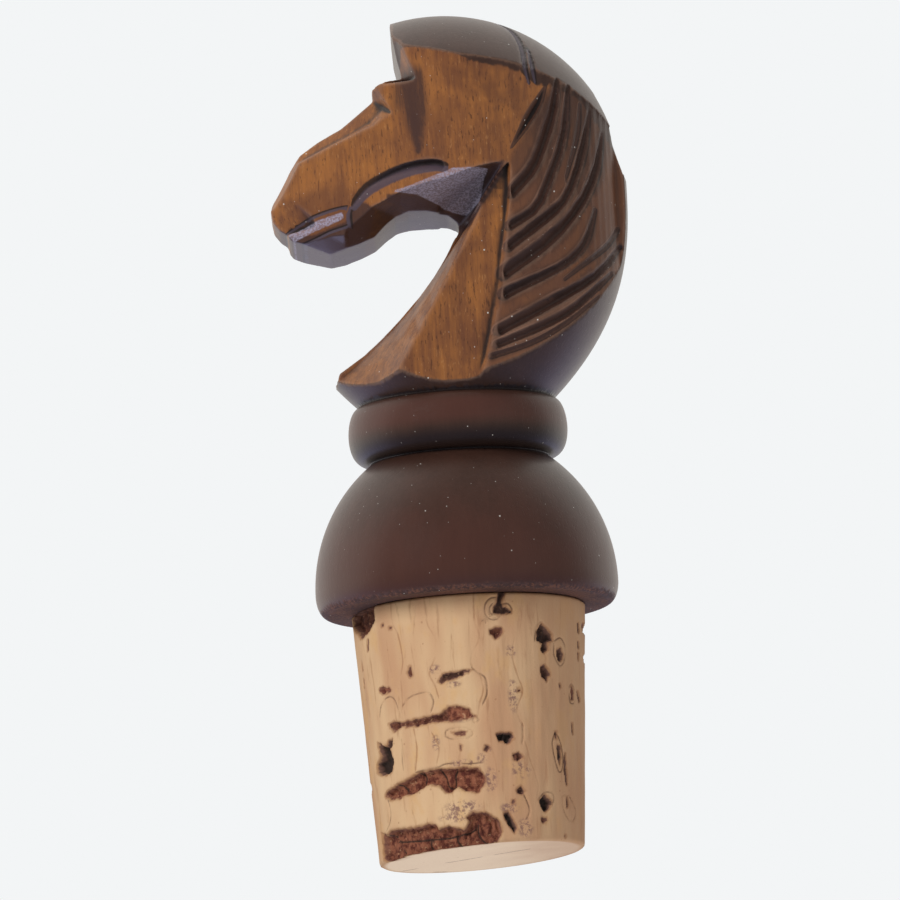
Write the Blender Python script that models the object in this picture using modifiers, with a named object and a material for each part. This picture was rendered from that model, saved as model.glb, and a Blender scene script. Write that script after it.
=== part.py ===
# A wine stopper: a chess knight turned and carved from one block of hardwood,
# pegged onto a tapered natural cork. Metres, +Z along the stopper's axis, the
# knight looks along -X, and the origin is the middle of the cork's foot.
import math

import bmesh
import bpy
from mathutils import Matrix, Vector

MM = 0.001

# Cork
CORK_LENGTH = 23.6 * MM
CORK_TOP_RADIUS = 11.2 * MM
CORK_FOOT_RADIUS = 9.85 * MM
CORK_EDGE = 0.35 * MM
FOOT_SLANT = math.radians(2.4)

# Peg that joins the cork to the head
PEG_RADIUS = 4.0 * MM
PEG_IN_CORK = 13.0 * MM
PEG_IN_HEAD = 12.0 * MM
PEG_END_BEVEL = 0.7 * MM

# Gap left wherever two pieces touch
SEAT_GAP = 0.3 * MM

# Turned foot of the head: a dome with a rounded rim, then a ring between two grooves
DOME_RADIUS = 14.5 * MM
DOME_HEIGHT = 14.4 * MM
RIM_HEIGHT = 2.0 * MM
SEAT_RADIUS = 13.5 * MM
LOWER_GROOVE_RADIUS = 8.4 * MM
RING_RADIUS = 10.5 * MM
RING_HEIGHT = 5.4 * MM
UPPER_GROOVE_RADIUS = 9.2 * MM

# Turned ball that the horse's head is carved from, and the shoulder below it
BALL_RADIUS = 17.5 * MM
SHOULDER_HEIGHT = 20.1 * MM
SHOULDER_POWER = 2.55

# Facets on the turned surfaces and round the mane, and points along the cuts
TURNED_STEPS = 64
MANE_STEPS = 18
GOUGE_SAMPLES = 10
CHAMFER_SAMPLES = 11

# The carving is drawn in millimetres from the ball's centre, on a ball and a
# shoulder of these sizes, and grows and shrinks with the real ones
DRAWN_BALL = 17.5
DRAWN_SHOULDER = 20.1

# Levels that follow from the sizes above, and the drawing's millimetre across and down
SEAT_LEVEL = CORK_LENGTH + SEAT_GAP
LOWER_GROOVE_LEVEL = SEAT_LEVEL + DOME_HEIGHT
UPPER_GROOVE_LEVEL = LOWER_GROOVE_LEVEL + RING_HEIGHT
BALL_LEVEL = UPPER_GROOVE_LEVEL + SHOULDER_HEIGHT
UNIT = BALL_RADIUS / DRAWN_BALL
FALL_UNIT = SHOULDER_HEIGHT / DRAWN_SHOULDER
BEYOND = 2.0 * BALL_RADIUS

# Half widths of the horse at the neck's foot, and how fast they grow upwards
SIDE_HALF_WIDTH = 10.45 * UNIT
SIDE_FLARE = 0.075
NECK_HALF_WIDTH = 10.0 * UNIT
NECK_FLARE = 0.03

# Where the mane's side starts to round off, and its crest
MANE_START = 1.0 * UNIT
MANE_CREST = 16.9 * UNIT
SPINE_SHARE = 0.24

# The cheek's wedge: its rounded corner, its tip at the muzzle and its lower end
CHEEK_CORNER = 1.1 * UNIT
CHEEK_ROUND = 2.6 * UNIT
CHEEK_FALL = 8.0 * FALL_UNIT
MUZZLE_FRONT = -16.6 * UNIT
MUZZLE_HALF_WIDTH = 5.2 * UNIT

# Gouge cuts: greatest depths, steepest wall, and how far a tool stands clear of the wood
LOCK_DEPTH = 0.7 * UNIT
CREASE_DEPTH = 0.7 * UNIT
STEEPEST = 1.2
TOOL_CLEAR = 0.4 * UNIT
CHIP_CLEAR = 2.0

# Side view of everything that is cut away in front of the horse, as (x, z)
FRONT_OUTLINE = [
    (-4.3, 19.0), (-4.3, 16.0), (-4.2, 14.4), (-3.8, 12.2), (-3.4, 10.6),
    (-4.9, 10.2), (-6.4, 9.4), (-6.3, 8.6),
    (-9.5, 6.3), (-11.8, 5.3), (-13.6, 4.2), (-14.6, 2.9), (-15.7, 0.9),
    (-16.5, -0.3), (-16.7, -1.0), (-16.5, -2.1), (-15.9, -2.9),
    (-15.3, -3.3), (-15.1, -3.8), (-14.8, -4.2),
    (-12.9, -4.9), (-11.2, -5.5), (-10.0, -5.2), (-8.4, -4.7), (-6.9, -4.1),
    (-5.8, -3.1), (-4.8, -2.4), (-3.5, -2.0), (-1.8, -2.0), (0.2, -2.3), (1.1, -2.9), (1.2, -3.7),
    (-0.2, -6.2), (-1.4, -8.0), (-2.9, -9.9), (-4.9, -12.0), (-6.9, -13.9),
    (-8.6, -15.3), (-10.1, -16.3), (-11.0, -16.9), (-11.2, -17.6), (-13.0, -18.6), (-24.0, -18.6), (-24.0, 19.0),
]

# Foot of the step from the neck up to the mane, from the throat down, as (x, z) and
# how far the step slants across for each millimetre that it rises
MANE_LINE = [
    (6.1, 1.5, 0.6), (6.0, -1.0, 0.6), (5.65, -3.7, 0.7), (5.0, -7.1, 0.9), (4.6, -9.8, 1.1),
    (4.0, -12.4, 1.6), (3.4, -15.1, 1.1), (2.9, -17.1, 1.0), (2.2, -19.2, 1.0),
]

# Gouged locks of the mane, from the crest down to the step, as (x, z, width)
MANE_LOCKS = [
    [(10.3, 8.7, 0.2), (9.4, 6.9, 0.9), (8.3, 5.2, 0.9), (6.6, 2.6, 0.2)],
    [(11.4, 9.4, 0.4), (10.9, 6.5, 1.2), (9.7, 3.1, 1.2), (8.5, 0.6, 1.2), (6.4, -1.6, 1.2)],
    [(12.4, 8.9, 0.4), (11.7, 3.9, 0.9), (10.1, -0.3, 0.9), (8.6, -3.2, 1.0), (6.0, -4.8, 1.0)],
    [(13.4, 7.1, 0.3), (13.0, 4.1, 0.5), (11.7, -0.1, 0.3)],
    [(14.3, 6.6, 0.4), (13.4, 2.5, 1.0), (11.7, -1.9, 0.9), (9.7, -3.9, 1.2), (5.8, -6.8, 1.0)],
    [(15.4, 4.7, 0.4), (14.6, 0.8, 1.0), (12.8, -2.8, 1.1), (9.7, -6.2, 1.4), (5.2, -9.3, 1.4)],
    [(14.3, -3.0, 0.4), (13.1, -6.4, 0.8), (10.5, -8.8, 0.8), (5.1, -11.3, 1.2)],
    [(16.4, -4.4, 0.4), (15.0, -6.6, 0.5), (11.0, -9.9, 0.3)],
    [(16.5, -6.1, 0.4), (14.0, -9.4, 0.9), (9.5, -12.2, 1.2), (4.4, -14.8, 1.1)],
    [(15.6, -8.9, 0.4), (12.1, -12.4, 0.9), (8.8, -14.3, 0.9), (4.2, -16.1, 0.8)],
    [(14.3, -11.3, 0.3), (10.9, -14.1, 0.5), (7.5, -16.0, 0.5), (3.6, -17.2, 0.6)],
]

# Creases of the face, as (x, z, width)
JAW_CHANNEL = [
    (-8.9, -1.7, 0.9), (-7.4, -0.15, 1.3), (-5.3, 0.8, 1.4), (-3.1, 1.35, 1.4), (-0.9, 1.4, 1.2), (0.1, 1.15, 1.0),
]
UPPER_LIP = [(-15.3, -3.3, 0.4), (-14.4, -2.8, 0.7), (-12.9, -2.2, 0.8), (-11.0, -1.7, 0.8), (-9.3, -1.5, 0.7)]
LOWER_LIP = [(-14.9, -5.0, 0.4), (-12.6, -4.3, 0.7), (-11.1, -3.75, 0.7), (-9.5, -3.4, 0.6)]
MOUTH_END = [(-8.9, -0.9, 0.4), (-9.2, -2.4, 0.8), (-9.0, -4.3, 0.5)]
EAR_BACK = [(5.6, 16.5, 0.4), (7.4, 14.8, 0.7), (8.2, 12.7, 0.7), (8.4, 10.4, 0.6), (8.7, 8.8, 0.3)]
EAR_LINE = [(8.8, 12.6, 0.3), (9.1, 10.4, 0.6), (9.3, 8.9, 0.3)]


def clear_scene():
    """Start from an empty scene."""
    for item in list(bpy.data.objects):
        bpy.data.objects.remove(item, do_unlink=True)


def make_collection(name):
    """A collection in the scene."""
    group = bpy.data.collections.new(name)
    bpy.context.scene.collection.children.link(group)
    return group


def make_material(name, colour, roughness):
    """A plain surface with the part's own colour."""
    material = bpy.data.materials.new(name)
    material.use_nodes = True
    shader = material.node_tree.nodes["Principled BSDF"]
    shader.inputs["Base Color"].default_value = (*colour, 1.0)
    shader.inputs["Roughness"].default_value = roughness
    shader.inputs["Metallic"].default_value = 0.0
    return material


def add_mesh(name, bm, group):
    """A mesh object from a bmesh, with its faces turned outwards."""
    bmesh.ops.recalc_face_normals(bm, faces=bm.faces)
    mesh = bpy.data.meshes.new(name)
    bm.to_mesh(mesh)
    bm.free()
    item = bpy.data.objects.new(name, mesh)
    group.objects.link(item)
    return item


def turned_object(name, profile, group, steps=TURNED_STEPS):
    """A turned solid: a profile of (radius, z) from the top down, spun about Z."""
    bm = bmesh.new()
    verts = [bm.verts.new((radius, 0.0, z)) for radius, z in profile]
    for upper, lower in zip(verts, verts[1:]):
        bm.edges.new((upper, lower))
    mesh = bpy.data.meshes.new(name)
    bm.to_mesh(mesh)
    bm.free()
    item = bpy.data.objects.new(name, mesh)
    group.objects.link(item)
    screw = item.modifiers.new("Spin", "SCREW")
    screw.axis = "Z"
    screw.angle = math.tau
    screw.steps = steps
    screw.render_steps = steps
    screw.use_merge_vertices = True
    screw.merge_threshold = 0.00001
    screw.use_smooth_shade = True
    return item


def freeze(item, group):
    """Turn a curve, or an object with modifiers, into a plain mesh in world space."""
    bpy.context.view_layer.update()
    evaluated = item.evaluated_get(bpy.context.evaluated_depsgraph_get())
    mesh = bpy.data.meshes.new_from_object(evaluated)
    mesh.transform(item.matrix_world)
    bm = bmesh.new()
    bm.from_mesh(mesh)
    bmesh.ops.remove_doubles(bm, verts=bm.verts, dist=0.000001)
    name = item.name
    bpy.data.objects.remove(item, do_unlink=True)
    bpy.data.meshes.remove(mesh)
    return add_mesh(name, bm, group)


def as_cutter(item):
    """Show a tool solid as wires and leave it out of the picture."""
    item.hide_render = True
    item.display_type = "WIRE"
    return item


def cut(target, cutter):
    """Take the cutter away from the target."""
    boolean = target.modifiers.new(cutter.name, "BOOLEAN")
    boolean.operation = "DIFFERENCE"
    boolean.solver = "EXACT"
    boolean.object = cutter


def cut_all(target, name, cutters):
    """Take a whole set of cutters away in one go."""
    boolean = target.modifiers.new(name, "BOOLEAN")
    boolean.operation = "DIFFERENCE"
    boolean.solver = "EXACT"
    boolean.operand_type = "COLLECTION"
    boolean.collection = cutters


def place(x, z):
    """A point of the side view's drawing, as real x and z."""
    unit = UNIT if z >= 0.0 else FALL_UNIT
    return x * UNIT, BALL_LEVEL + z * unit


def at(x, z, out):
    """A point of the drawing, at its distance out from the middle plane."""
    real_x, real_z = place(x, z)
    return Vector((real_x, -out * UNIT, real_z))


def turned_radius(z):
    """Radius of the turned ball and shoulder at a height."""
    rise = z - BALL_LEVEL
    if rise >= 0.0:
        return math.sqrt(max(BALL_RADIUS ** 2 - rise ** 2, 0.0))
    share = min(-rise / SHOULDER_HEIGHT, 1.0)
    return UPPER_GROOVE_RADIUS + (BALL_RADIUS - UPPER_GROOVE_RADIUS) * (1.0 - share ** SHOULDER_POWER)


def side_half(z):
    """Half width of the horse, which flares upwards."""
    return SIDE_HALF_WIDTH + SIDE_FLARE * (z - UPPER_GROOVE_LEVEL)


def neck_half(z):
    """Half width of the neck, which is cut in deeper than the mane."""
    return NECK_HALF_WIDTH + NECK_FLARE * (z - UPPER_GROOVE_LEVEL)


def cheek_share(x):
    """Width of the wedge-shaped cheek, as a share of the full width."""
    tip = MUZZLE_HALF_WIDTH / side_half(BALL_LEVEL)
    slope = (1.0 - tip) / (CHEEK_CORNER - MUZZLE_FRONT)
    if x >= CHEEK_CORNER + CHEEK_ROUND:
        return 1.0
    if x <= CHEEK_CORNER - CHEEK_ROUND:
        return 1.0 - slope * (CHEEK_CORNER - x)
    return 1.0 - slope * (CHEEK_CORNER + CHEEK_ROUND - x) ** 2 / (4.0 * CHEEK_ROUND)


def mane_half(x, z):
    """Half width of the mane, which rounds off towards the crest."""
    if x <= MANE_START:
        return side_half(z)
    share = min((x - MANE_START) / (MANE_CREST - MANE_START), 1.0)
    return side_half(z) * math.sqrt(1.0 - share ** 2)


def side_depth(x, z, on_cheek):
    """How far the flattened side lies from the middle plane."""
    ball = math.sqrt(max(turned_radius(z) ** 2 - x ** 2, 0.0))
    depth = min(ball, mane_half(x, z))
    if on_cheek:
        depth = min(depth, cheek_share(x) * side_half(z))
    return depth


def side_normal(x, z, on_cheek):
    """The way the flattened side faces at a point."""
    step = 0.1 * MM
    along_x = side_depth(x + step, z, on_cheek) - side_depth(x - step, z, on_cheek)
    along_z = side_depth(x, z + step, on_cheek) - side_depth(x, z - step, on_cheek)
    return Vector((-along_x / (2 * step), -1.0, -along_z / (2 * step))).normalized()


def head_profile():
    """Turned profile of the head from its crown down to the seat on the cork."""
    crown = []
    for step in range(13):
        angle = math.radians(90.0 * step / 12)
        crown.append((BALL_RADIUS * math.sin(angle), BALL_LEVEL + BALL_RADIUS * math.cos(angle)))
    shoulder = []
    for step in range(1, 13):
        z = BALL_LEVEL - SHOULDER_HEIGHT * step / 12
        shoulder.append((turned_radius(z), z))
    ring = []
    middle = (LOWER_GROOVE_LEVEL + UPPER_GROOVE_LEVEL) / 2
    for step in range(1, 8):
        angle = math.radians(180.0 * step / 8)
        share = step / 8
        groove = UPPER_GROOVE_RADIUS + (LOWER_GROOVE_RADIUS - UPPER_GROOVE_RADIUS) * share
        radius = groove + (RING_RADIUS - groove) * math.sin(angle) ** 0.7
        ring.append((radius, middle + RING_HEIGHT / 2 * math.cos(angle)))
    dome = []
    rim_level = SEAT_LEVEL + RIM_HEIGHT
    stop = math.asin(LOWER_GROOVE_RADIUS / DOME_RADIUS)
    for step in range(9):
        angle = stop + (math.pi / 2 - stop) * step / 8
        rise = (math.cos(angle) / math.cos(stop)) * (LOWER_GROOVE_LEVEL - rim_level)
        dome.append((DOME_RADIUS * math.sin(angle), rim_level + rise))
    rim = []
    for step in range(1, 5):
        angle = math.radians(90.0 * step / 4)
        radius = SEAT_RADIUS + (DOME_RADIUS - SEAT_RADIUS) * math.cos(angle)
        rim.append((radius, SEAT_LEVEL + RIM_HEIGHT * (1.0 - math.sin(angle))))
    return crown + shoulder + ring + dome + rim + [(0.0, SEAT_LEVEL)]


def outline_cutter(name, points, near, far, group):
    """A side-view outline made into a slab between two depths from the middle plane."""
    curve = bpy.data.curves.new(name, "CURVE")
    curve.dimensions = "2D"
    curve.fill_mode = "BOTH"
    curve.extrude = abs(far - near) / 2
    spline = curve.splines.new("POLY")
    spline.points.add(len(points) - 1)
    for point, (x, z) in zip(spline.points, points):
        real_x, real_z = place(x, z)
        point.co = (real_x, real_z, 0.0, 1.0)
    spline.use_cyclic_u = True
    item = bpy.data.objects.new(name, curve)
    item.rotation_euler = (math.pi / 2, 0.0, 0.0)
    item.location = (0.0, -(near + far) / 2, 0.0)
    group.objects.link(item)
    return as_cutter(freeze(item, group))


def row_cutter(name, rows, group):
    """A closed tool solid through rows of points, with a flat face at both ends."""
    bm = bmesh.new()
    rings = [[bm.verts.new(point) for point in row] for row in rows]
    for first, second in zip(rings, rings[1:]):
        for corner in range(len(first)):
            after = (corner + 1) % len(first)
            bm.faces.new((first[corner], first[after], second[after], second[corner]))
    bm.faces.new(rings[0])
    bm.faces.new(rings[-1])
    bmesh.ops.triangulate(bm, faces=bm.faces)
    return as_cutter(add_mesh(name, bm, group))


def line_point(points, share):
    """A place on the smooth line that passes through the given points."""
    spans = len(points) - 1
    index = min(int(share * spans), spans - 1)
    step = share * spans - index
    corners = [points[min(max(index + shift, 0), spans)] for shift in (-1, 0, 1, 2)]
    made = []
    for before, start, end, after in zip(*corners):
        bend = 2 * before - 5 * start + 4 * end - after
        twist = 3 * (start - end) + after - before
        made.append(start + ((end - before) + (bend + twist * step) * step) * step / 2)
    return made


def ribbon_cutter(name, lines, lift, group, steps=None):
    """A chip that leaves facets between lines; lift carries it clear of the wood."""
    rows = []
    last = (steps or len(lift)) - 1
    for index in range(last + 1):
        low = [at(*line_point(line, index / last)) for line in lines]
        across, up, out = line_point(lift, index / last)
        away = Vector((across, -out, up)) * UNIT
        rows.append(low + [point + away for point in reversed(low)])
    return row_cutter(name, rows, group)


def wedge_cutter(name, points, group):
    """A chip with flat sides: the hull of a few points."""
    bm = bmesh.new()
    for point in points:
        bm.verts.new(at(*point))
    made = bmesh.ops.convex_hull(bm, input=bm.verts)
    spare = [item for item in made["geom_interior"] if isinstance(item, bmesh.types.BMVert)]
    bmesh.ops.delete(bm, geom=spare, context="VERTS")
    return as_cutter(add_mesh(name, bm, group))


def gouge_cutter(name, points, depth, lean, group, on_cheek=False, stop=None):
    """A V-shaped gouge along the side, through points of (x, z, width).

    The lean moves its deepest line across, and stop is the way that its last edge runs."""
    last = GOUGE_SAMPLES - 1
    spots = []
    for index in range(GOUGE_SAMPLES):
        x, z, width = line_point(points, index / last)
        real_x, real_z = place(x, z)
        surface = Vector((real_x, -side_depth(real_x, real_z, on_cheek), real_z))
        spots.append((surface, side_normal(real_x, real_z, on_cheek), width * UNIT / 2))
    rows = []
    for index, (surface, normal, half) in enumerate(spots):
        along = spots[min(index + 1, last)][0] - spots[max(index - 1, 0)][0]
        across = normal.cross(along).normalized()
        sunk = min(depth, half * STEEPEST)
        low = surface - normal * sunk + across * half * lean
        if stop and index == last:
            edge = stop - normal * stop.dot(normal)
            across = edge / edge.dot(across)
        reach = 1.0 + TOOL_CLEAR / sunk
        left = low + (surface - across * half - low) * reach
        right = low + (surface + across * half - low) * reach
        rows.append([low, left, right])
    return row_cutter(name, rows, group)


def side_chip(name, plan, bottom, top, group):
    """A chip off one side of the head, from a plan of (x, share of the half width)."""
    rows = [[(x, -share * side_half(z), z) for x, share in plan] for z in (bottom, top)]
    return row_cutter(name, rows, group)


def side_slab(group):
    """What is sawn off one side of the ball: flat in front, rounded behind."""
    plan = [(-BEYOND, 1.0)]
    last = math.acos(SPINE_SHARE)
    for step in range(MANE_STEPS + 1):
        angle = last * step / MANE_STEPS
        plan.append((MANE_START + (MANE_CREST - MANE_START) * math.sin(angle), math.cos(angle)))
    plan += [(BEYOND, SPINE_SHARE), (BEYOND, 3.0), (-BEYOND, 3.0)]
    return side_chip("side_slab", plan, UPPER_GROOVE_LEVEL, BALL_LEVEL + BEYOND, group)


def cheek_wedge(group):
    """What narrows the cheek towards the muzzle, rounded into the side behind it."""
    places = [CHEEK_CORNER + CHEEK_ROUND * (1.0 - step / 4) for step in range(9)] + [-BEYOND]
    plan = [(x, cheek_share(x)) for x in places] + [(-BEYOND, 3.0), (CHEEK_CORNER + CHEEK_ROUND, 3.0)]
    return side_chip("cheek_wedge", plan, BALL_LEVEL - CHEEK_FALL, BALL_LEVEL + BEYOND, group)


def neck_flat(group):
    """The flat side of the neck, cut in to the slanting step below the mane."""
    front = [(-20.0, -19.2, 0.0), (-20.0, -6.0, 0.0), (0.0, -3.6, 0.0), (3.4, -2.2, 0.0)]
    rows = []
    for rise in (0.0, CHIP_CLEAR):
        row = []
        for x, z, slant in MANE_LINE + front:
            real_x, real_z = place(x + slant * rise, z)
            row.append((real_x, -neck_half(real_z) - rise * UNIT, real_z))
        rows.append(row)
    return row_cutter("neck_flat", rows, group)


def throat_cut(group):
    """The notch between the jaw and the neck, deepest at the middle."""
    return wedge_cutter("throat_cut", [
        (6.7, 2.2, 13.5), (4.2, 0.9, 14.0), (2.5, -2.5, 4.6), (1.2, -3.2, 2.4),
        (2.6, -3.6, 14.0), (1.1, -4.3, 2.4), (-0.6, 0.6, 14.0), (-0.6, -5.0, 14.0),
        (-0.6, -2.2, 4.0), (-0.6, -5.0, 3.0),
    ], group)


def jaw_chamfer(group):
    """The slanting underside of the jaw, from the chin to the throat."""
    upper = [(-9.6, -3.0, 8.6), (-7.8, -1.6, 9.5), (-4.0, -0.2, 11.0), (0.3, 0.6, 12.8), (4.4, 0.8, 13.2)]
    lower = [(-9.6, -5.4, 4.4), (-7.6, -4.5, 4.5), (-4.4, -2.5, 4.7), (0.4, -2.2, 4.6), (2.6, -2.6, 4.8)]
    lift = [(0.0, -3.0, 1.0), (0.0, -3.0, 1.0), (0.0, -3.0, 1.0), (-0.7, -2.8, 1.0), (-2.0, -0.9, 1.0)]
    return ribbon_cutter("jaw_chamfer", [lower, upper], lift, group)


def neck_chamfer(group):
    """The long facet down the front of the neck, with a valley along its middle."""
    front = [(2.1, -3.2, 3.0), (1.0, -4.7, 3.1), (-3.5, -10.7, 3.1), (-8.6, -15.6, 3.0), (-12.4, -18.6, 3.0)]
    valley = [(3.0, -2.7, 7.6), (2.0, -4.2, 7.2), (-1.9, -10.2, 6.9), (-5.7, -15.5, 7.1), (-8.0, -19.8, 7.9)]
    back = [(3.8, -2.2, 12.4), (3.1, -3.8, 12.4), (-0.5, -10.6, 12.0), (-3.6, -16.2, 11.4), (-5.9, -20.2, 11.2)]
    lift = [(-0.5, 0.3, 1.0), (-1.0, 0.8, 1.0), (-4.0, 3.2, 1.0), (-5.0, 4.0, 1.0), (-5.0, 4.0, 1.0)]
    return ribbon_cutter("neck_chamfer", [front, valley, back], lift, group, CHAMFER_SAMPLES)


def nose_bevel(group):
    """The steep strip beside the bridge of the nose and the shelf below it, from a stop under the brow."""
    upper = [(-6.6, 8.75, 6.9), (-7.6, 7.95, 6.6), (-9.8, 6.4, 5.8), (-13.7, 4.35, 4.3), (-15.6, 2.9, 3.6)]
    middle = [(-5.4, 7.7, 8.3), (-6.8, 6.4, 7.8), (-9.0, 5.4, 6.9), (-13.0, 3.8, 5.1), (-15.2, 2.8, 4.2)]
    lower = [(-3.9, 6.35, 11.0), (-6.0, 5.3, 10.4), (-8.6, 4.6, 9.4), (-12.7, 3.3, 7.3), (-15.0, 2.4, 6.2)]
    lift = [(0.7, 0.95, 3.0)] + [(-1.0, 3.0, 2.0)] * 4
    return ribbon_cutter("nose_bevel", [upper, middle, lower], lift, group)


def muzzle_bevel(group):
    """The bevel down the front corner of the muzzle."""
    front = [(-13.6, 4.8, 3.4), (-14.5, 3.2, 3.4), (-15.9, 0.8, 3.3), (-16.9, -1.0, 3.0)]
    side = [(-12.9, 4.6, 6.8), (-13.6, 2.9, 6.6), (-14.7, 0.9, 6.3), (-15.7, -0.7, 5.9)]
    lift = [(-3.0, 0.5, 2.0)] * 4
    return ribbon_cutter("muzzle_bevel", [front, side], lift, group)


def nostril_facet(group):
    """The facet under the nostril that turns in to the mouth."""
    upper = [(-17.4, -0.6, 3.8), (-15.0, 0.4, 5.6), (-12.6, -1.7, 6.9)]
    lower = [(-17.4, -3.4, 2.6), (-15.2, -3.4, 4.0), (-12.4, -3.0, 5.6)]
    lift = [(-1.0, -0.5, 4.0)] * 3
    return ribbon_cutter("nostril_facet", [lower, upper], lift, group)


def lip_facet(group):
    """The facet that turns in under the lower lip."""
    upper = [(-15.8, -4.4, 6.0), (-12.1, -3.6, 8.0), (-8.4, -3.6, 9.6)]
    lower = [(-15.8, -5.2, 2.8), (-11.4, -6.0, 3.4), (-8.2, -5.6, 4.2)]
    lift = [(0.0, -2.5, 1.0)] * 3
    return ribbon_cutter("lip_facet", [lower, upper], lift, group)


def ear_bevel(group):
    """The three-cornered bevel at the front of the ear."""
    front = [(-4.8, 15.2, 8.8), (-3.2, 9.8, 7.2)]
    side = [(-4.0, 15.2, 10.6), (-1.9, 9.8, 11.8)]
    lift = [(-3.0, 0.0, 3.0)] * 2
    return ribbon_cutter("ear_bevel", [front, side], lift, group)


def back_facet(group):
    """The narrow flat that is pared off the crest at the back of the head."""
    return wedge_cutter("back_facet", [
        (13.2, 14.2, -0.6), (17.3, 0.6, -0.6), (17.3, 0.6, 3.0), (13.2, 14.2, 3.0),
        (20.0, 14.2, -0.6), (20.0, 0.6, -0.6), (20.0, 0.6, 9.0), (20.0, 14.2, 9.0),
    ], group)


def ear_notch(group):
    """Half of the notch that parts the two ears."""
    return wedge_cutter("ear_notch", [
        (-6.5, 13.6, -0.5), (-6.5, 19.5, -0.5), (-6.5, 19.5, 3.2),
        (6.8, 16.6, -0.5), (6.8, 19.5, -0.5), (6.8, 19.5, 1.7), (-6.5, 13.6, 0.0), (6.8, 16.6, 0.0),
    ], group)


def face_gouges(group):
    """Creases of the mouth, the jaw and the ear, each deepest near its upper or front edge."""
    return [
        gouge_cutter("upper_lip", UPPER_LIP, CREASE_DEPTH, 0.6, group, True),
        gouge_cutter("lower_lip", LOWER_LIP, CREASE_DEPTH, 0.6, group, True),
        gouge_cutter("mouth_end", MOUTH_END, CREASE_DEPTH, 0.0, group, True),
        gouge_cutter("jaw_channel", JAW_CHANNEL, CREASE_DEPTH, 0.5, group, True, Vector((-0.2, 0.0, 1.0))),
        gouge_cutter("ear_back", EAR_BACK, CREASE_DEPTH, -0.3, group),
        gouge_cutter("ear_line", EAR_LINE, CREASE_DEPTH, 0.0, group),
    ]


def mane_gouges(group):
    """The gouged locks of the mane, deepest near their lower edge; most stop along the step."""
    cutters = []
    for number, lock in enumerate(MANE_LOCKS, start=1):
        stop = Vector((0.1, 0.0, -1.0)) if lock[-1][2] > lock[0][2] else None
        cutters.append(gouge_cutter(f"mane_lock_{number:02d}", lock, LOCK_DEPTH, 0.45, group, False, stop))
    return cutters


def peg_bore(name, bottom, top, group):
    """A hole that the peg slides into with the seat gap all round."""
    bm = bmesh.new()
    radius = PEG_RADIUS + SEAT_GAP
    bmesh.ops.create_cone(
        bm, cap_ends=True, segments=32, radius1=radius, radius2=radius, depth=top - bottom,
        matrix=Matrix.Translation((0.0, 0.0, (top + bottom) / 2)),
    )
    return as_cutter(add_mesh(name, bm, group))


def build_head(parts, cutters):
    """The carved and turned head: one side is carved, then mirrored."""
    head = turned_object("carved_head", head_profile(), parts)
    air = outline_cutter("front_air", FRONT_OUTLINE, -MM, BEYOND, cutters)
    tools = [air, side_slab(cutters), cheek_wedge(cutters), neck_flat(cutters)]
    tools += [throat_cut(cutters), jaw_chamfer(cutters), neck_chamfer(cutters)]
    tools += [nose_bevel(cutters), muzzle_bevel(cutters), nostril_facet(cutters), lip_facet(cutters)]
    tools += [back_facet(cutters), ear_bevel(cutters), ear_notch(cutters)]
    for tool in tools:
        cut(head, tool)
    gouges = make_collection("gouges")
    face_gouges(gouges)
    mane_gouges(gouges)
    cut_all(head, "Gouged lines", gouges)
    mirror = head.modifiers.new("Other side", "MIRROR")
    mirror.use_axis = (False, True, False)
    mirror.use_bisect_axis = (False, True, False)
    mirror.use_bisect_flip_axis = (False, True, False)
    mirror.use_clip = True
    mirror.merge_threshold = 0.00001
    mirror.bisect_threshold = 0.000001
    cut(head, peg_bore("head_bore", SEAT_LEVEL - MM, SEAT_LEVEL + PEG_IN_HEAD + SEAT_GAP, cutters))
    head.data.materials.append(make_material("stained_hardwood", (0.13, 0.055, 0.025), 0.35))
    return head


def build_cork(parts, cutters):
    """The tapered cork with its blind hole and a slightly slanting foot."""
    slack = CORK_FOOT_RADIUS * math.tan(FOOT_SLANT) + MM
    taper = (CORK_TOP_RADIUS - CORK_FOOT_RADIUS) / CORK_LENGTH
    profile = [
        (0.0, CORK_LENGTH),
        (CORK_TOP_RADIUS - CORK_EDGE, CORK_LENGTH),
        (CORK_TOP_RADIUS, CORK_LENGTH - CORK_EDGE),
        (CORK_FOOT_RADIUS - taper * slack, -slack),
        (0.0, -slack),
    ]
    cork = turned_object("cork", profile, parts)
    bm = bmesh.new()
    size = 4.0 * CORK_TOP_RADIUS
    bmesh.ops.create_cube(bm, size=size, matrix=Matrix.Translation((0.0, 0.0, -size / 2)))
    bmesh.ops.transform(bm, matrix=Matrix.Rotation(-FOOT_SLANT, 4, "Y"), verts=bm.verts)
    cut(cork, as_cutter(add_mesh("foot_cut", bm, cutters)))
    cut(cork, peg_bore("cork_bore", SEAT_LEVEL - PEG_IN_CORK - SEAT_GAP, CORK_LENGTH + MM, cutters))
    cork.data.materials.append(make_material("natural_cork", (0.62, 0.42, 0.24), 0.85))
    return cork


def build_peg(parts):
    """The wooden peg hidden in the cork and the head."""
    top = SEAT_LEVEL + PEG_IN_HEAD
    bottom = SEAT_LEVEL - PEG_IN_CORK
    profile = [
        (0.0, top), (PEG_RADIUS - PEG_END_BEVEL, top), (PEG_RADIUS, top - PEG_END_BEVEL),
        (PEG_RADIUS, bottom + PEG_END_BEVEL), (PEG_RADIUS - PEG_END_BEVEL, bottom), (0.0, bottom),
    ]
    peg = turned_object("peg", profile, parts, 32)
    peg.data.materials.append(make_material("pale_peg_wood", (0.6, 0.42, 0.25), 0.7))
    return peg


def main():
    """Build the stopper."""
    clear_scene()
    parts = make_collection("wine_stopper")
    cutters = make_collection("cutters")
    build_cork(parts, cutters)
    build_peg(parts)
    build_head(parts, cutters)


main()
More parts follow.
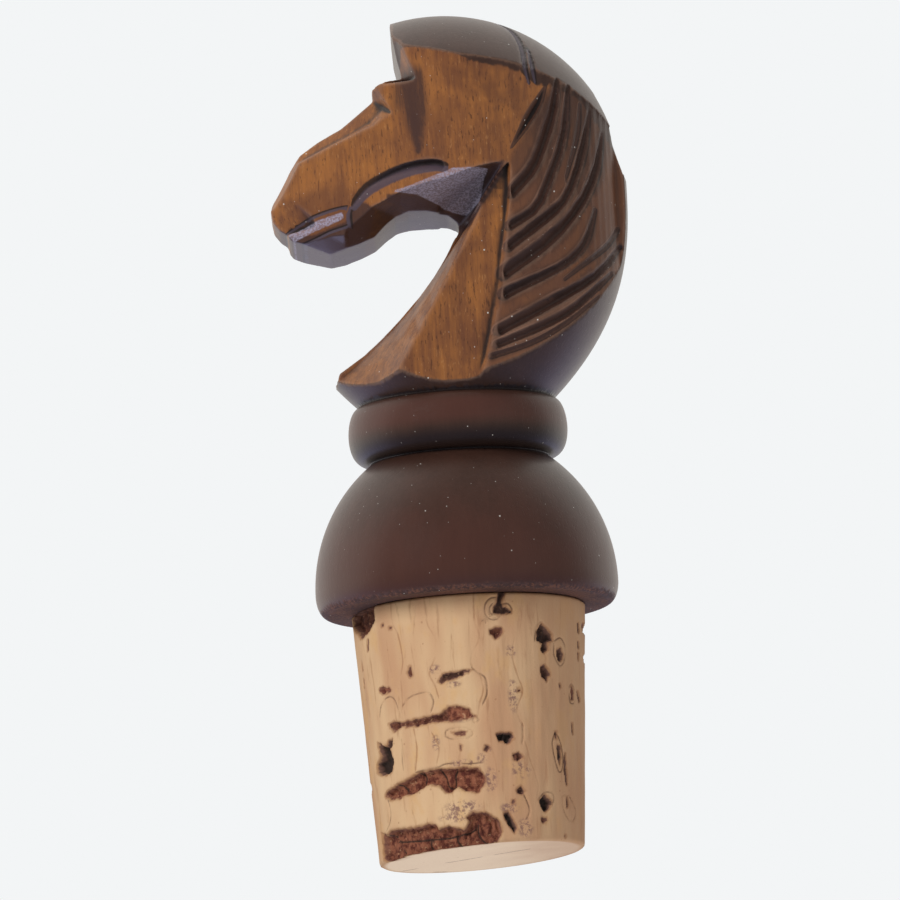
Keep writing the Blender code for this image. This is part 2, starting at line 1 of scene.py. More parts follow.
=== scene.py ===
import math

import bmesh
import bpy
import numpy as np
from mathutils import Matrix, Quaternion, Vector, kdtree


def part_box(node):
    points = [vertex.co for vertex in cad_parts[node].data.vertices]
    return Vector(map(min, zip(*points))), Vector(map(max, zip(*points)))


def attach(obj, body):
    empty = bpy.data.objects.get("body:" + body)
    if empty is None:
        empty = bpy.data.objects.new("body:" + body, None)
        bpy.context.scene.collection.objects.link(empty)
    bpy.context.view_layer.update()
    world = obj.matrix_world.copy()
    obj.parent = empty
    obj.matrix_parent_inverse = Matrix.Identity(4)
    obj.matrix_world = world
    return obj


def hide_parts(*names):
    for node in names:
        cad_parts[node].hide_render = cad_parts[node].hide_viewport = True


MM = 0.001

# Turned outline of the head, as in the model (mm)
SEAT_LEVEL = 23.9
SEAT_RADIUS = 13.5
DOME_RADIUS = 14.5
DOME_HEIGHT = 14.4
RIM_HEIGHT = 2.0
LOWER_GROOVE_RADIUS = 8.4
RING_RADIUS = 10.5
RING_HEIGHT = 5.4
UPPER_GROOVE_RADIUS = 9.2
SHOULDER_HEIGHT = 20.1
SHOULDER_POWER = 2.55
BALL_RADIUS = 17.5
LOWER_GROOVE_LEVEL = SEAT_LEVEL + DOME_HEIGHT
UPPER_GROOVE_LEVEL = LOWER_GROOVE_LEVEL + RING_HEIGHT
BALL_LEVEL = UPPER_GROOVE_LEVEL + SHOULDER_HEIGHT
RING_LEVEL = (LOWER_GROOVE_LEVEL + UPPER_GROOVE_LEVEL) / 2

# Levels between which a stain of the head starts or ends, and the painted shade in the lower groove and on the ring's
# lower half (mm)
RAW_END = (24.02, 24.52)
DOME_RED_END = (27.0, 36.0)
GROOVE_SHADE_START = (37.8, 38.6)
GROOVE_SHADE_END = (39.2, 40.6)
MANE_DARK_START = (61.5, 70.0)
RING_RED_LEVEL = RING_LEVEL + 0.9
JAW_LEVEL = BALL_LEVEL - 12.0

# Mesh of the head (mm, except counts)
VOXEL = 0.14
SNAP_REACH = 0.085
HEAD_TRIANGLES = 192000

# Cork (mm)
CORK_TOP = 23.86
CORK_TOP_RADIUS = 11.2
CORK_FOOT_RADIUS = 9.85
CORK_DRAWN_TOP = 23.6
CORK_EDGE = 0.3
FOOT_SLANT = math.radians(2.4)
CORK_COLUMNS = 440
CORK_CROWDING = 0.35
CORK_ROWS = 152
CORK_RINGS = 20
LINE_REACH = 0.6
HIDDEN_PITS = 40
BACK_START = 18.0

# Camera and stage (m and degrees)
CAMERA_TARGET = Vector((-0.00086, 0.0, 0.0394))
CAMERA_DISTANCE = 1.8
CAMERA_ELEVATION = math.radians(-8.7)
CAMERA_ROLL = math.atan(0.0575)
CAMERA_LENS = 752.0
FLOOR_SIZE = 6.0

SEED = 7


def paint(red, green, blue):
    """A colour written as it looks on screen, as the shader's own numbers."""
    made = []
    for value in (red, green, blue):
        share = value / 255.0
        made.append(share / 12.92 if share <= 0.04045 else ((share + 0.055) / 1.055) ** 2.4)
    return (*made, 1.0)


# Stain and lacquer of the head
STAIN_AMBER = paint(152, 96, 46)
STAIN_BROWN = paint(108, 65, 40)
STAIN_RIDGE = paint(98, 62, 44)
STAIN_BLOTCH = paint(92, 54, 36)
STAIN_RED = paint(82, 46, 38)
DOME_RED = paint(78, 42, 34)
STAIN_DARK = paint(64, 42, 34)
# Dark stain, also used as painted shade below the jaw and on the lower muzzle
DARK_STAIN_AND_SHADE = paint(62, 40, 36)
STAIN_FLOOR = paint(70, 47, 40)
# Near-black brown: stain, and painted shade in hollows, cuts, the groove and on down-facing faces
DEEP_STAIN_AND_SHADE = paint(30, 21, 20)
# Purple-grey of the cuts' floors, partly stain and partly a painted reflection
PURPLE_STAIN_AND_SHEEN = paint(70, 60, 72)
# Painted reflection on the stippled facets
GLINT_SHEEN_GREY = paint(150, 144, 164)
PORE_DARK = paint(66, 38, 24)
FLECK_PALE = paint(176, 126, 76)
EDGE_WORN = paint(150, 116, 96)
# Painted highlight along the mane's gouges
MANE_EDGE_HIGHLIGHT = paint(128, 92, 74)
SEAT_RAW = paint(108, 68, 52)
DUST = paint(206, 202, 196)

# Cork
CORK_TAN = paint(208, 174, 136)
CORK_WARM = paint(190, 148, 114)
CORK_GOLD = paint(204, 162, 112)
CORK_CREAM = paint(238, 216, 192)
CORK_STREAK = paint(150, 106, 74)
CORK_GREY = paint(124, 92, 86)
CORK_SHADED = paint(176, 134, 104)
PIT_RIM = paint(128, 94, 82)
PIT_RED = paint(146, 92, 70)
PIT_RED_DARK = paint(92, 48, 40)
PIT_BROWN = paint(92, 56, 44)
# Dark cork in the pits, also used as painted shade in them
PIT_DARK_AND_SHADE = paint(52, 44, 40)
CRACK = paint(112, 84, 66)

PEG_PALE = paint(196, 160, 118)
BACKDROP = paint(243, 245, 246)

# The mane's gouges, as in the model: (x, height from the ball's middle, width) in mm.
# The other lines and outlines of the head below are measured in the same way.
MANE_LOCKS = [
    [(10.3, 8.7, 0.2), (9.4, 6.9, 0.9), (8.3, 5.2, 0.9), (6.6, 2.6, 0.2)],
    [(11.4, 9.4, 0.4), (10.9, 6.5, 1.2), (9.7, 3.1, 1.2), (8.5, 0.6, 1.2), (6.4, -1.6, 1.2)],
    [(12.4, 8.9, 0.4), (11.7, 3.9, 0.9), (10.1, -0.3, 0.9), (8.6, -3.2, 1.0), (6.0, -4.8, 1.0)],
    [(13.4, 7.1, 0.3), (13.0, 4.1, 0.5), (11.7, -0.1, 0.3)],
    [(14.3, 6.6, 0.4), (13.4, 2.5, 1.0), (11.7, -1.9, 0.9), (9.7, -3.9, 1.2), (5.8, -6.8, 1.0)],
    [(15.4, 4.7, 0.4), (14.6, 0.8, 1.0), (12.8, -2.8, 1.1), (9.7, -6.2, 1.4), (5.2, -9.3, 1.4)],
    [(14.3, -3.0, 0.4), (13.1, -6.4, 0.8), (10.5, -8.8, 0.8), (5.1, -11.3, 1.2)],
    [(16.4, -4.4, 0.4), (15.0, -6.6, 0.5), (11.0, -9.9, 0.3)],
    [(16.5, -6.1, 0.4), (14.0, -9.4, 0.9), (9.5, -12.2, 1.2), (4.4, -14.8, 1.1)],
    [(15.6, -8.9, 0.4), (12.1, -12.4, 0.9), (8.8, -14.3, 0.9), (4.2, -16.1, 0.8)],
    [(14.3, -11.3, 0.3), (10.9, -14.1, 0.5), (7.5, -16.0, 0.5), (3.6, -17.2, 0.6)],
]

# Everything behind the mane's step and below its first lock
MANE_FIELD = [
    (2.2, -19.2), (2.9, -17.1), (4.0, -12.4), (5.0, -7.1), (6.0, -1.0), (6.1, 1.5), (6.6, 2.6),
    (8.3, 5.2), (9.4, 6.9), (10.3, 8.7), (11.2, 14.0), (25.0, 14.0), (25.0, -19.2),
]

# The dark patch of stain from the brow to the jaw
PATCH_LINE = [(-2.9, 9.8, 3.0), (-2.7, 8.2, 3.0), (-2.4, 6.4, 2.5), (-2.3, 4.8, 1.9), (-2.2, 3.0, 1.0)]

# Cuts of the face that hold dark stain and painted shade, black on one wall and purple-grey
# on the other as a painted reflection: the jaw's channel, the lips, the mouth's end and the ear's back
FACE_CUTS = [
    [
        (-8.9, -1.7, 0.9), (-7.4, -0.15, 1.3), (-5.3, 0.8, 1.4), (-3.1, 1.35, 1.4), (-0.9, 1.4, 1.2),
        (0.1, 1.15, 1.0),
    ],
    [(-15.3, -3.3, 0.3), (-14.4, -2.8, 0.4), (-12.9, -2.2, 0.4), (-11.0, -1.7, 0.4), (-9.3, -1.5, 0.4)],
    [(-14.9, -5.0, 0.3), (-12.6, -4.3, 0.4), (-11.1, -3.75, 0.4), (-9.5, -3.4, 0.4)],
    [(-9.0, -1.7, 0.3), (-9.2, -2.6, 0.6), (-9.0, -3.9, 0.3)],
    [(5.6, 16.5, 0.4), (7.4, 14.8, 0.6), (8.2, 12.7, 0.6), (8.4, 10.4, 0.5), (8.7, 8.8, 0.3)],
    [(8.8, 12.6, 0.3), (9.1, 10.4, 0.5), (9.3, 8.9, 0.3)],
]

# The turned crown, which stays dark also where it is cut
CROWN_FIELD = [
    (-8.0, 20.0), (-8.0, 10.4), (-3.6, 10.4), (-3.4, 13.0), (0.3, 12.7), (1.9, 11.8), (3.5, 11.0), (5.1, 10.6),
    (6.75, 10.3), (7.9, 9.9), (9.4, 8.6), (11.2, 8.6), (13.5, 7.4), (16.5, 3.0), (20.0, 3.0), (20.0, 20.0),
]

# Places of the face below the jaw and on the lower muzzle, painted almost black as painted shade
SHADED_FIELDS = [
    [
        (4.3, 0.9), (6.0, 1.7), (5.7, 0.2), (3.7, -2.5), (2.3, -4.4), (1.0, -3.6), (-1.0, -2.7), (-3.4, -1.9),
        (-5.6, -1.4), (-5.5, -0.7), (-2.5, -1.0), (-0.6, -1.7), (0.7, -2.2), (2.0, -2.5), (3.4, -1.6), (3.9, 0.1),
    ],
    [
        (-16.5, -3.7), (-12.6, -3.8), (-9.6, -2.9), (-8.7, -1.5), (-7.8, -1.1), (-6.6, -2.0), (-7.2, -3.8),
        (-9.0, -6.0), (-12.0, -8.0), (-16.5, -8.0),
    ],
]

# Facets of the face that are left stippled, so that they catch the light from below; their colour is also painted a
# paler grey-lavender, as a painted reflection
GLINT_FIELDS = [
    [
        (-5.5, -0.6), (-3.3, -0.2), (-0.4, 0.6), (0.9, 1.0), (4.4, 0.9), (3.9, 0.1), (3.4, -1.6), (2.0, -2.5),
        (0.7, -2.2), (-0.6, -1.7), (-2.5, -1.0),
    ],
    [(-15.2, -3.6), (-12.8, -2.6), (-9.7, -1.9), (-9.6, -2.6), (-11.0, -3.1), (-12.6, -3.6), (-14.6, -4.4)],
]

# Pits and fissures of the cork, seen from the front: depth, how reddish and how dark
# the inside is, and an outline of (mm round the cork, mm up)
CORK_PITS = [
    (1.1, 0.6, 0.5, [
        (-17.64, 24.4), (-10.55, 24.4), (-10.52, 22.4), (-11.47, 21.7), (-13.33, 21.0), (-14.48, 21.7), (-17.6, 23.0),
    ]),
    (0.5, 0.2, 0.7, [
        (2.82, 24.6), (4.18, 24.6), (3.72, 24.0), (3.37, 23.2), (3.4, 22.53), (4.07, 22.2), (4.27, 21.9),
        (3.68, 21.8), (2.88, 21.7), (2.3, 22.0), (2.63, 22.7), (2.89, 23.4), (3.02, 23.9),
    ]),
    (0.6, 0.8, 0.4, [
        (1.97, 20.3), (2.54, 20.5), (3.16, 20.46), (3.28, 20.07), (2.84, 19.6), (2.43, 19.27), (1.98, 19.88),
    ]),
    (0.8, 0.3, 0.75, [
        (7.03, 20.35), (7.55, 21.0), (7.96, 20.44), (8.87, 20.0), (8.87, 19.35), (8.09, 19.05), (8.29, 18.55),
        (7.64, 18.0), (7.28, 18.5), (7.52, 18.96), (6.76, 19.34),
    ]),
    (0.6, 0.2, 0.7, [(9.3, 18.6), (9.9, 18.7), (10.3, 18.2), (9.98, 17.3), (9.6, 17.5), (9.3, 18.05)]),
    (0.7, 0.4, 0.65, [(7.02, 16.87), (7.62, 17.0), (8.29, 16.2), (7.76, 15.42), (7.11, 15.9)]),
    (0.5, 0.5, 0.65, [
        (-3.42, 15.64), (-2.92, 16.38), (-2.04, 16.45), (-1.27, 16.56), (0.1, 16.55), (-0.81, 16.15),
        (-1.66, 15.83), (-2.54, 15.64), (-3.12, 15.45),
    ]),
    (0.3, 0.6, 0.4, [(-6.33, 17.35), (-6.02, 17.43), (-5.94, 16.5), (-6.34, 16.35), (-6.6, 16.8)]),
    (0.35, 1.0, 0.1, [(-10.7, 15.8), (-9.9, 16.0), (-9.0, 15.8), (-8.7, 15.5), (-9.64, 15.3), (-10.5, 15.5)]),
    (0.55, 0.8, 0.45, [
        (-9.42, 12.39), (-8.67, 12.5), (-7.72, 12.28), (-5.77, 12.4), (-5.27, 12.44), (-3.48, 12.57), (-2.63, 12.93),
        (-2.45, 11.81), (-3.7, 11.89), (-5.58, 11.7), (-7.64, 11.83), (-8.76, 11.59), (-9.38, 12.0),
    ]),
    (0.45, 1.0, 0.0, [
        (-2.8, 12.9), (-2.6, 13.2), (-1.67, 13.25), (-0.45, 12.89), (-0.09, 12.23), (0.29, 12.1), (-0.88, 11.9),
        (-2.6, 11.8),
    ]),
    (0.25, 0.7, 0.45, [(-2.3, 10.75), (-1.6, 10.8), (-0.8, 10.72), (-0.9, 10.4), (-1.8, 10.35)]),
    (0.9, 0.0, 1.0, [(2.0, 10.34), (2.48, 10.53), (3.58, 10.44), (3.74, 9.94), (3.16, 9.43), (2.26, 9.68)]),
    (0.5, 0.2, 0.9, [(13.4, 21.5), (13.9, 21.5), (13.9, 20.5), (13.4, 20.5)]),
    (0.5, 0.2, 0.9, [(13.3, 19.75), (13.75, 19.75), (13.7, 19.1), (13.3, 19.1)]),
    (0.5, 0.2, 0.9, [(13.2, 18.6), (13.67, 18.6), (13.57, 17.9), (13.2, 17.9)]),
    (0.35, 0.5, 0.4, [(11.4, 15.25), (11.8, 15.3), (12.0, 14.87), (11.9, 13.9), (11.4, 13.9), (11.5, 14.6)]),
    (0.5, 0.2, 0.8, [(12.75, 14.95), (13.1, 15.0), (13.6, 14.05), (13.1, 13.8)]),
    (0.3, 0.3, 0.6, [(9.4, 15.25), (9.73, 15.28), (9.8, 14.94), (9.48, 14.8)]),
    (0.3, 0.9, 0.3, [(4.35, 14.6), (4.72, 14.63), (4.82, 14.32), (4.42, 14.25)]),
    (0.5, 0.3, 0.7, [(11.25, 11.76), (11.57, 11.75), (11.68, 10.7), (11.34, 10.6)]),
    (0.3, 0.4, 0.5, [(8.47, 10.7), (8.72, 10.7), (8.77, 9.96), (8.5, 9.94)]),
    (0.4, 0.2, 0.8, [(-14.21, 18.97), (-13.8, 18.9), (-13.68, 18.15), (-14.16, 18.17)]),
    (0.4, 0.2, 0.8, [(-14.06, 17.36), (-13.72, 17.27), (-13.73, 16.48), (-14.16, 16.52)]),
    (0.4, 0.4, 0.6, [(-12.13, 20.96), (-11.92, 20.89), (-12.04, 19.74), (-12.36, 19.71)]),
    (0.3, 0.5, 0.5, [(-9.45, 21.97), (-9.2, 21.93), (-9.2, 21.66), (-9.46, 21.66)]),
    (0.3, 0.5, 0.5, [(-8.49, 21.54), (-8.15, 21.47), (-8.19, 21.2), (-8.5, 21.23)]),
    (1.1, 0.05, 0.85, [
        (-11.69, 11.02), (-10.64, 10.34), (-9.94, 10.42), (-9.89, 10.84), (-9.01, 10.88), (-9.11, 10.28),
        (-9.52, 10.01), (-9.17, 8.74), (-9.45, 7.76), (-11.05, 7.72), (-12.49, 8.11), (-12.37, 8.79),
        (-11.27, 9.45), (-11.53, 10.36),
    ]),
    (0.85, 1.0, 0.0, [
        (-11.11, 5.65), (-10.53, 6.15), (-8.76, 6.53), (-7.26, 6.89), (-5.94, 7.29), (-3.98, 7.4), (-2.19, 7.28),
        (-1.32, 7.38), (0.25, 7.1), (0.71, 6.22), (0.49, 5.37), (-0.05, 4.88), (-0.93, 5.01), (-1.94, 5.54),
        (-2.68, 5.06), (-3.21, 5.05), (-3.72, 5.72), (-4.83, 6.06), (-5.85, 5.72), (-6.5, 5.4), (-8.12, 5.31),
        (-8.65, 5.12), (-10.07, 5.26),
    ]),
    (0.3, 0.4, 0.5, [(0.82, 9.34), (1.13, 9.26), (1.21, 9.0), (0.99, 8.65), (0.79, 8.86)]),
    (0.5, 0.7, 0.5, [(3.48, 8.39), (4.17, 8.61), (4.64, 8.06), (4.11, 7.68), (3.54, 7.93)]),
    (0.5, 0.6, 0.6, [(3.66, 5.04), (4.24, 5.41), (4.64, 4.88), (4.29, 4.5), (3.82, 4.67)]),
    (1.0, 0.85, 0.2, [
        (-12.78, 2.49), (-11.38, 2.1), (-10.15, 2.39), (-8.17, 2.23), (-6.32, 2.2), (-5.28, 2.34), (-4.51, 2.21),
        (-4.2, 1.65), (-3.23, 1.92), (-1.66, 1.39), (-1.06, 2.2), (-1.42, 2.6), (-0.7, 3.07), (0.32, 2.97),
        (1.16, 2.59), (1.94, 2.05), (2.05, 1.01), (1.56, 0.1), (0.65, -0.1), (0.12, -0.2), (-1.78, -0.45),
        (-3.03, -0.5), (-4.1, -0.2), (-5.68, -0.25), (-6.99, -0.4), (-8.43, -0.25), (-9.31, -0.5),
        (-11.48, -0.6), (-12.76, -0.1), (-12.61, 1.12),
    ]),
    (0.7, 0.0, 0.9, [(2.21, 2.78), (2.83, 2.93), (3.23, 2.03), (3.6, 1.31), (3.27, 0.86), (2.59, 1.83)]),
    (0.9, 0.0, 1.0, [(6.08, 3.96), (6.91, 4.67), (7.7, 3.89), (7.41, 3.35), (6.79, 2.88), (6.19, 3.45)]),
    (0.25, 0.5, 0.4, [(6.2, 2.4), (7.0, 2.45), (7.0, 2.08), (6.5, 1.8), (6.2, 2.0)]),
    (0.6, 0.0, 0.9, [(8.7, 9.5), (9.2, 9.38), (9.3, 8.18), (8.89, 7.35), (8.7, 8.42)]),
    (0.6, 0.1, 0.95, [(9.74, 8.77), (10.0, 8.76), (10.09, 5.78), (9.81, 5.66), (9.72, 7.36)]),
    (0.5, 0.2, 0.85, [(9.75, 4.48), (10.05, 4.49), (10.1, 3.64), (9.75, 3.55)]),
    (0.2, 0.4, 0.5, [(-1.51, 9.46), (-1.3, 9.47), (-1.33, 8.96), (-1.5, 8.94)]),
    (0.2, 0.4, 0.5, [(3.16, 4.01), (3.44, 4.06), (3.36, 3.67), (3.18, 3.7)]),
    (0.2, 0.4, 0.5, [(9.23, 0.89), (9.55, 0.89), (9.47, 0.66), (9.24, 0.63)]),
]

# Thin cracks and growth lines of the cork, as (mm round, mm up)
CORK_CRACKS = [
    [(2.67, 23.36), (2.14, 23.27), (1.66, 22.73), (1.61, 21.87), (2.03, 21.31), (2.76, 21.29), (3.24, 21.84)],
    [(2.32, 22.71), (2.06, 22.37), (2.13, 21.86), (2.58, 21.74)],
    [(3.34, 22.7), (3.92, 22.73), (4.28, 22.1), (3.77, 21.75)],
    [(1.36, 21.19), (1.58, 21.27), (1.62, 21.04)],
    [(-10.8, 13.35), (-10.47, 14.29), (-9.61, 14.83), (-8.81, 14.88), (-8.2, 14.25), (-7.73, 12.66)],
    [(-7.35, 13.88), (-6.44, 14.53), (-5.21, 14.79), (-4.32, 14.68), (-3.91, 13.86), (-4.19, 12.99)],
    [(0.45, 11.77), (0.16, 12.08), (-0.12, 11.8), (0.12, 11.48), (0.45, 11.77)],
    [(9.07, 19.33), (10.01, 19.68), (10.73, 18.81), (10.46, 17.58), (9.74, 17.03), (8.97, 17.95), (8.99, 18.89)],
    [(6.59, 19.33), (6.77, 20.2), (7.07, 20.87), (7.51, 21.1)],
    [(11.16, 15.09), (11.6, 15.45), (12.24, 14.88), (12.07, 13.73), (11.25, 13.66), (11.1, 14.4)],
    [(4.7, 11.19), (4.71, 10.16), (4.56, 9.47)],
    [(0.08, 16.69), (0.57, 16.24), (1.26, 15.69), (1.35, 14.31), (0.91, 13.3)],
    [
        (-2.9, 10.4), (-2.82, 10.95), (-1.97, 11.11), (-0.85, 11.02), (-0.2, 10.6), (-0.7, 10.1),
        (-2.1, 10.05), (-2.9, 10.4),
    ],
    [
        (8.06, 9.58), (8.58, 10.51), (9.22, 9.71), (9.57, 8.38), (9.37, 7.12), (8.77, 6.93),
        (8.22, 8.42), (8.06, 9.58),
    ],
    [
        (9.16, 4.53), (9.95, 4.79), (10.9, 4.24), (11.6, 3.32), (11.05, 2.42), (10.03, 2.43),
        (9.27, 3.38), (9.16, 4.53),
    ],
    [(6.03, 4.16), (6.92, 4.83), (7.94, 4.63), (7.81, 3.76)],
    [(4.48, 4.45), (4.78, 3.77), (4.96, 2.92), (4.63, 2.31)],
    [(-6.14, 7.38), (-3.97, 7.55), (-2.87, 7.83), (-0.78, 7.65), (0.42, 7.69)],
    [(-8.81, 6.54), (-8.02, 5.84), (-8.24, 5.3)],
    [(-5.94, 7.29), (-5.54, 6.64), (-5.89, 5.74)],
    [(-3.76, 7.36), (-3.3, 6.53), (-3.0, 5.64), (-2.38, 5.58), (-2.23, 6.6), (-2.03, 7.09)],
    [(-11.21, 2.1), (-9.97, 1.33), (-9.51, 0.57), (-9.16, -0.3)],
    [(-9.99, 1.2), (-7.31, 0.98), (-5.58, 0.89), (-3.29, 0.86), (-1.16, 1.17), (-0.45, 1.47)],
    [(-5.38, 0.86), (-5.51, 0.28), (-5.43, -0.2)],
    [(-2.57, 0.87), (-2.34, 0.24), (-1.76, -0.3)],
    [(-0.26, 1.8), (-0.15, 0.76), (0.66, -0.1)],
    [(-10.66, 10.2), (-10.09, 9.25), (-10.68, 7.81)],
    [(-7.87, 10.59), (-7.9, 8.88), (-7.83, 7.84)],
    [(-10.47, 5.19), (-10.16, 4.11), (-10.44, 3.13), (-11.13, 2.57)],
]

# Fainter growth lines that run up the cork
CORK_SEAMS = [
    [
        (-8.0, 23.69), (-8.03, 21.98), (-7.42, 20.69), (-7.1, 19.26), (-6.99, 17.87), (-7.36, 16.56),
        (-7.36, 14.84), (-7.47, 12.45),
    ],
    [
        (-3.9, 24.0), (-4.13, 21.45), (-3.39, 19.99), (-3.27, 18.43), (-3.68, 17.61), (-4.15, 16.46),
        (-3.67, 15.38), (-3.41, 14.32),
    ],
    [(0.57, 23.8), (0.54, 21.23), (0.9, 19.66), (0.0, 17.64), (0.11, 16.69)],
    [(0.76, 16.05), (1.02, 14.67), (0.57, 13.31), (0.37, 12.2)],
    [(4.65, 10.3), (4.96, 9.27), (5.31, 7.91), (5.96, 6.22), (6.1, 5.2), (5.69, 3.63)],
    [(4.3, 19.2), (4.1, 17.4), (4.5, 15.8), (4.9, 14.4), (4.2, 12.6), (4.7, 11.2)],
    [(-6.2, 11.4), (-6.0, 9.6), (-6.3, 7.6)],
    [(-4.2, 10.8), (-3.6, 9.4), (-3.9, 8.0)],
]

# Crumbly greyish patches of the cork: middle (mm round, mm up), half width and half height
CORK_CRUMBS = [
    (4.3, 6.9, 1.0, 0.8), (1.2, 6.0, 0.6, 1.2), (0.5, 8.0, 0.5, 0.6), (-1.2, 7.75, 1.6, 0.3), (-1.6, 12.0, 1.5, 0.35),
    (-2.4, 2.7, 1.6, 0.5), (4.4, 1.4, 0.8, 0.9), (-1.6, 3.6, 1.8, 0.6), (3.9, 14.0, 0.5, 1.6), (3.9, 18.2, 0.5, 0.6),
    (1.1, 9.0, 0.4, 0.4), (-3.6, 16.9, 0.6, 0.4), (-1.8, 15.3, 0.7, 0.3), (2.9, 3.3, 0.9, 0.5), (-3.9, 9.9, 0.4, 0.8),
]

# Cracks across the cork's foot, seen from above, as (x, y) in mm
FOOT_CRACKS = [
    [(-3.6, 1.8), (-1.4, 0.7), (0.9, -0.6), (4.5, -2.3)],
    [(-5.5, 7.5), (-4.2, 8.0), (-2.8, 8.9)],
    [(-8.2, 4.8), (-7.2, 4.3), (-6.2, 3.7)],
]


def step(operation):
    """A method that makes one step of arithmetic in the shader."""
    return lambda value, other: value.maker.maths(operation, value, other)


class Value:
    """A shader socket that takes part in sums."""

    def __init__(self, maker, socket):
        self.maker = maker
        self.socket = socket

    __add__ = __radd__ = step("ADD")
    __mul__ = __rmul__ = step("MULTIPLY")
    __sub__ = step("SUBTRACT")
    __truediv__ = step("DIVIDE")

    def __rsub__(self, other):
        return self.maker.maths("SUBTRACT", other, self)

    def __abs__(self):
        return self.maker.maths("ABSOLUTE", self)


class Maker:
    """Makes the nodes of one material or world."""

    def __init__(self, tree):
        self.tree = tree
        tree.nodes.clear()

    def node(self, kind, values=None, output=0, **settings):
        """A node with the values or links of its sockets, and its settings."""
        node = self.tree.nodes.new(kind)
        for name, value in settings.items():
            setattr(node, name, value)
        for name, value in (values or {}).items():
            if isinstance(value, Value):
                self.tree.links.new(value.socket, node.inputs[name])
            else:
                node.inputs[name].default_value = value
        return Value(self, node.outputs[output]) if node.outputs else node

    def maths(self, operation, first, second=None):
        """One step of arithmetic."""
        values = {0: first} if second is None else {0: first, 1: second}
        return self.node("ShaderNodeMath", values, operation=operation)

    def most(self, first, second):
        """The larger of two values."""
        return self.maths("MAXIMUM", first, second)

    def rise(self, value, low, high):
        """0 below the low value, 1 above the high one, smooth between."""
        values = {"Value": value, "From Min": low, "From Max": high}
        return self.node("ShaderNodeMapRange", values, interpolation_type="SMOOTHSTEP")

    def fall(self, value, low, high):
        """1 below the low value, 0 above the high one, smooth between."""
        return 1.0 - self.rise(value, low, high)

    def mix(self, share, first, second):
        """Two colours mixed."""
        values = {0: share, 6: first, 7: second}
        return self.node("ShaderNodeMix", values, 2, data_type="RGBA", clamp_factor=True)

    def upright(self, place, share):
        """A place with its height scaled, for grain that runs up the piece."""
        return self.node("ShaderNodeVectorMath", {0: place, 1: (1.0, 1.0, share)}, operation="MULTIPLY")

    def noise(self, place, scale, detail=2.0, roughness=0.5, distortion=0.0):
        """Soft noise from 0 to 1."""
        values = {"Vector": place, "Scale": scale, "Detail": detail}
        values.update({"Roughness": roughness, "Distortion": distortion})
        return self.node("ShaderNodeTexNoise", values)

    def specks(self, place, scale, smallest, largest):
        """Small scattered dots, of random sizes as shares of the spacing."""
        distance = self.node("ShaderNodeTexVoronoi", {"Vector": place, "Scale": scale})
        chance, _, _ = self.parts(Value(self, distance.socket.node.outputs["Color"]))
        size = smallest + (largest - smallest) * self.rise(chance, 0.4, 1.0)
        return self.rise(size - distance, 0.0, 0.012)

    def attribute(self, name):
        """A number kept on the piece's own points."""
        return self.node("ShaderNodeAttribute", output=2, attribute_name=name)

    def parts(self, place):
        """The three numbers of a place."""
        split = self.node("ShaderNodeSeparateXYZ", {0: place}).socket.node
        return [Value(self, socket) for socket in split.outputs]

    def place(self):
        """The piece's own coordinates in metres."""
        return self.node("ShaderNodeTexCoord", output=3)

    def surface(self, colour, roughness, relief, strength, depth, more=None):
        """A surface with a fine relief of a depth in mm, and more inputs of its shader."""
        bump = self.node("ShaderNodeBump", {"Strength": strength, "Distance": depth * MM, "Height": relief})
        values = {"Base Color": colour, "Roughness": roughness, "Normal": bump, **(more or {})}
        return self.node("ShaderNodeBsdfPrincipled", values)


def new_material(name, build):
    """A material whose nodes are made by the given function."""
    material = bpy.data.materials.new(name)
    material.use_nodes = True
    make = Maker(material.node_tree)
    make.node("ShaderNodeOutputMaterial", {"Surface": build(make)})
    return material


def tinted(colour, share):
    """A darker form of a colour."""
    return (*(value * share for value in colour[:3]), 1.0)


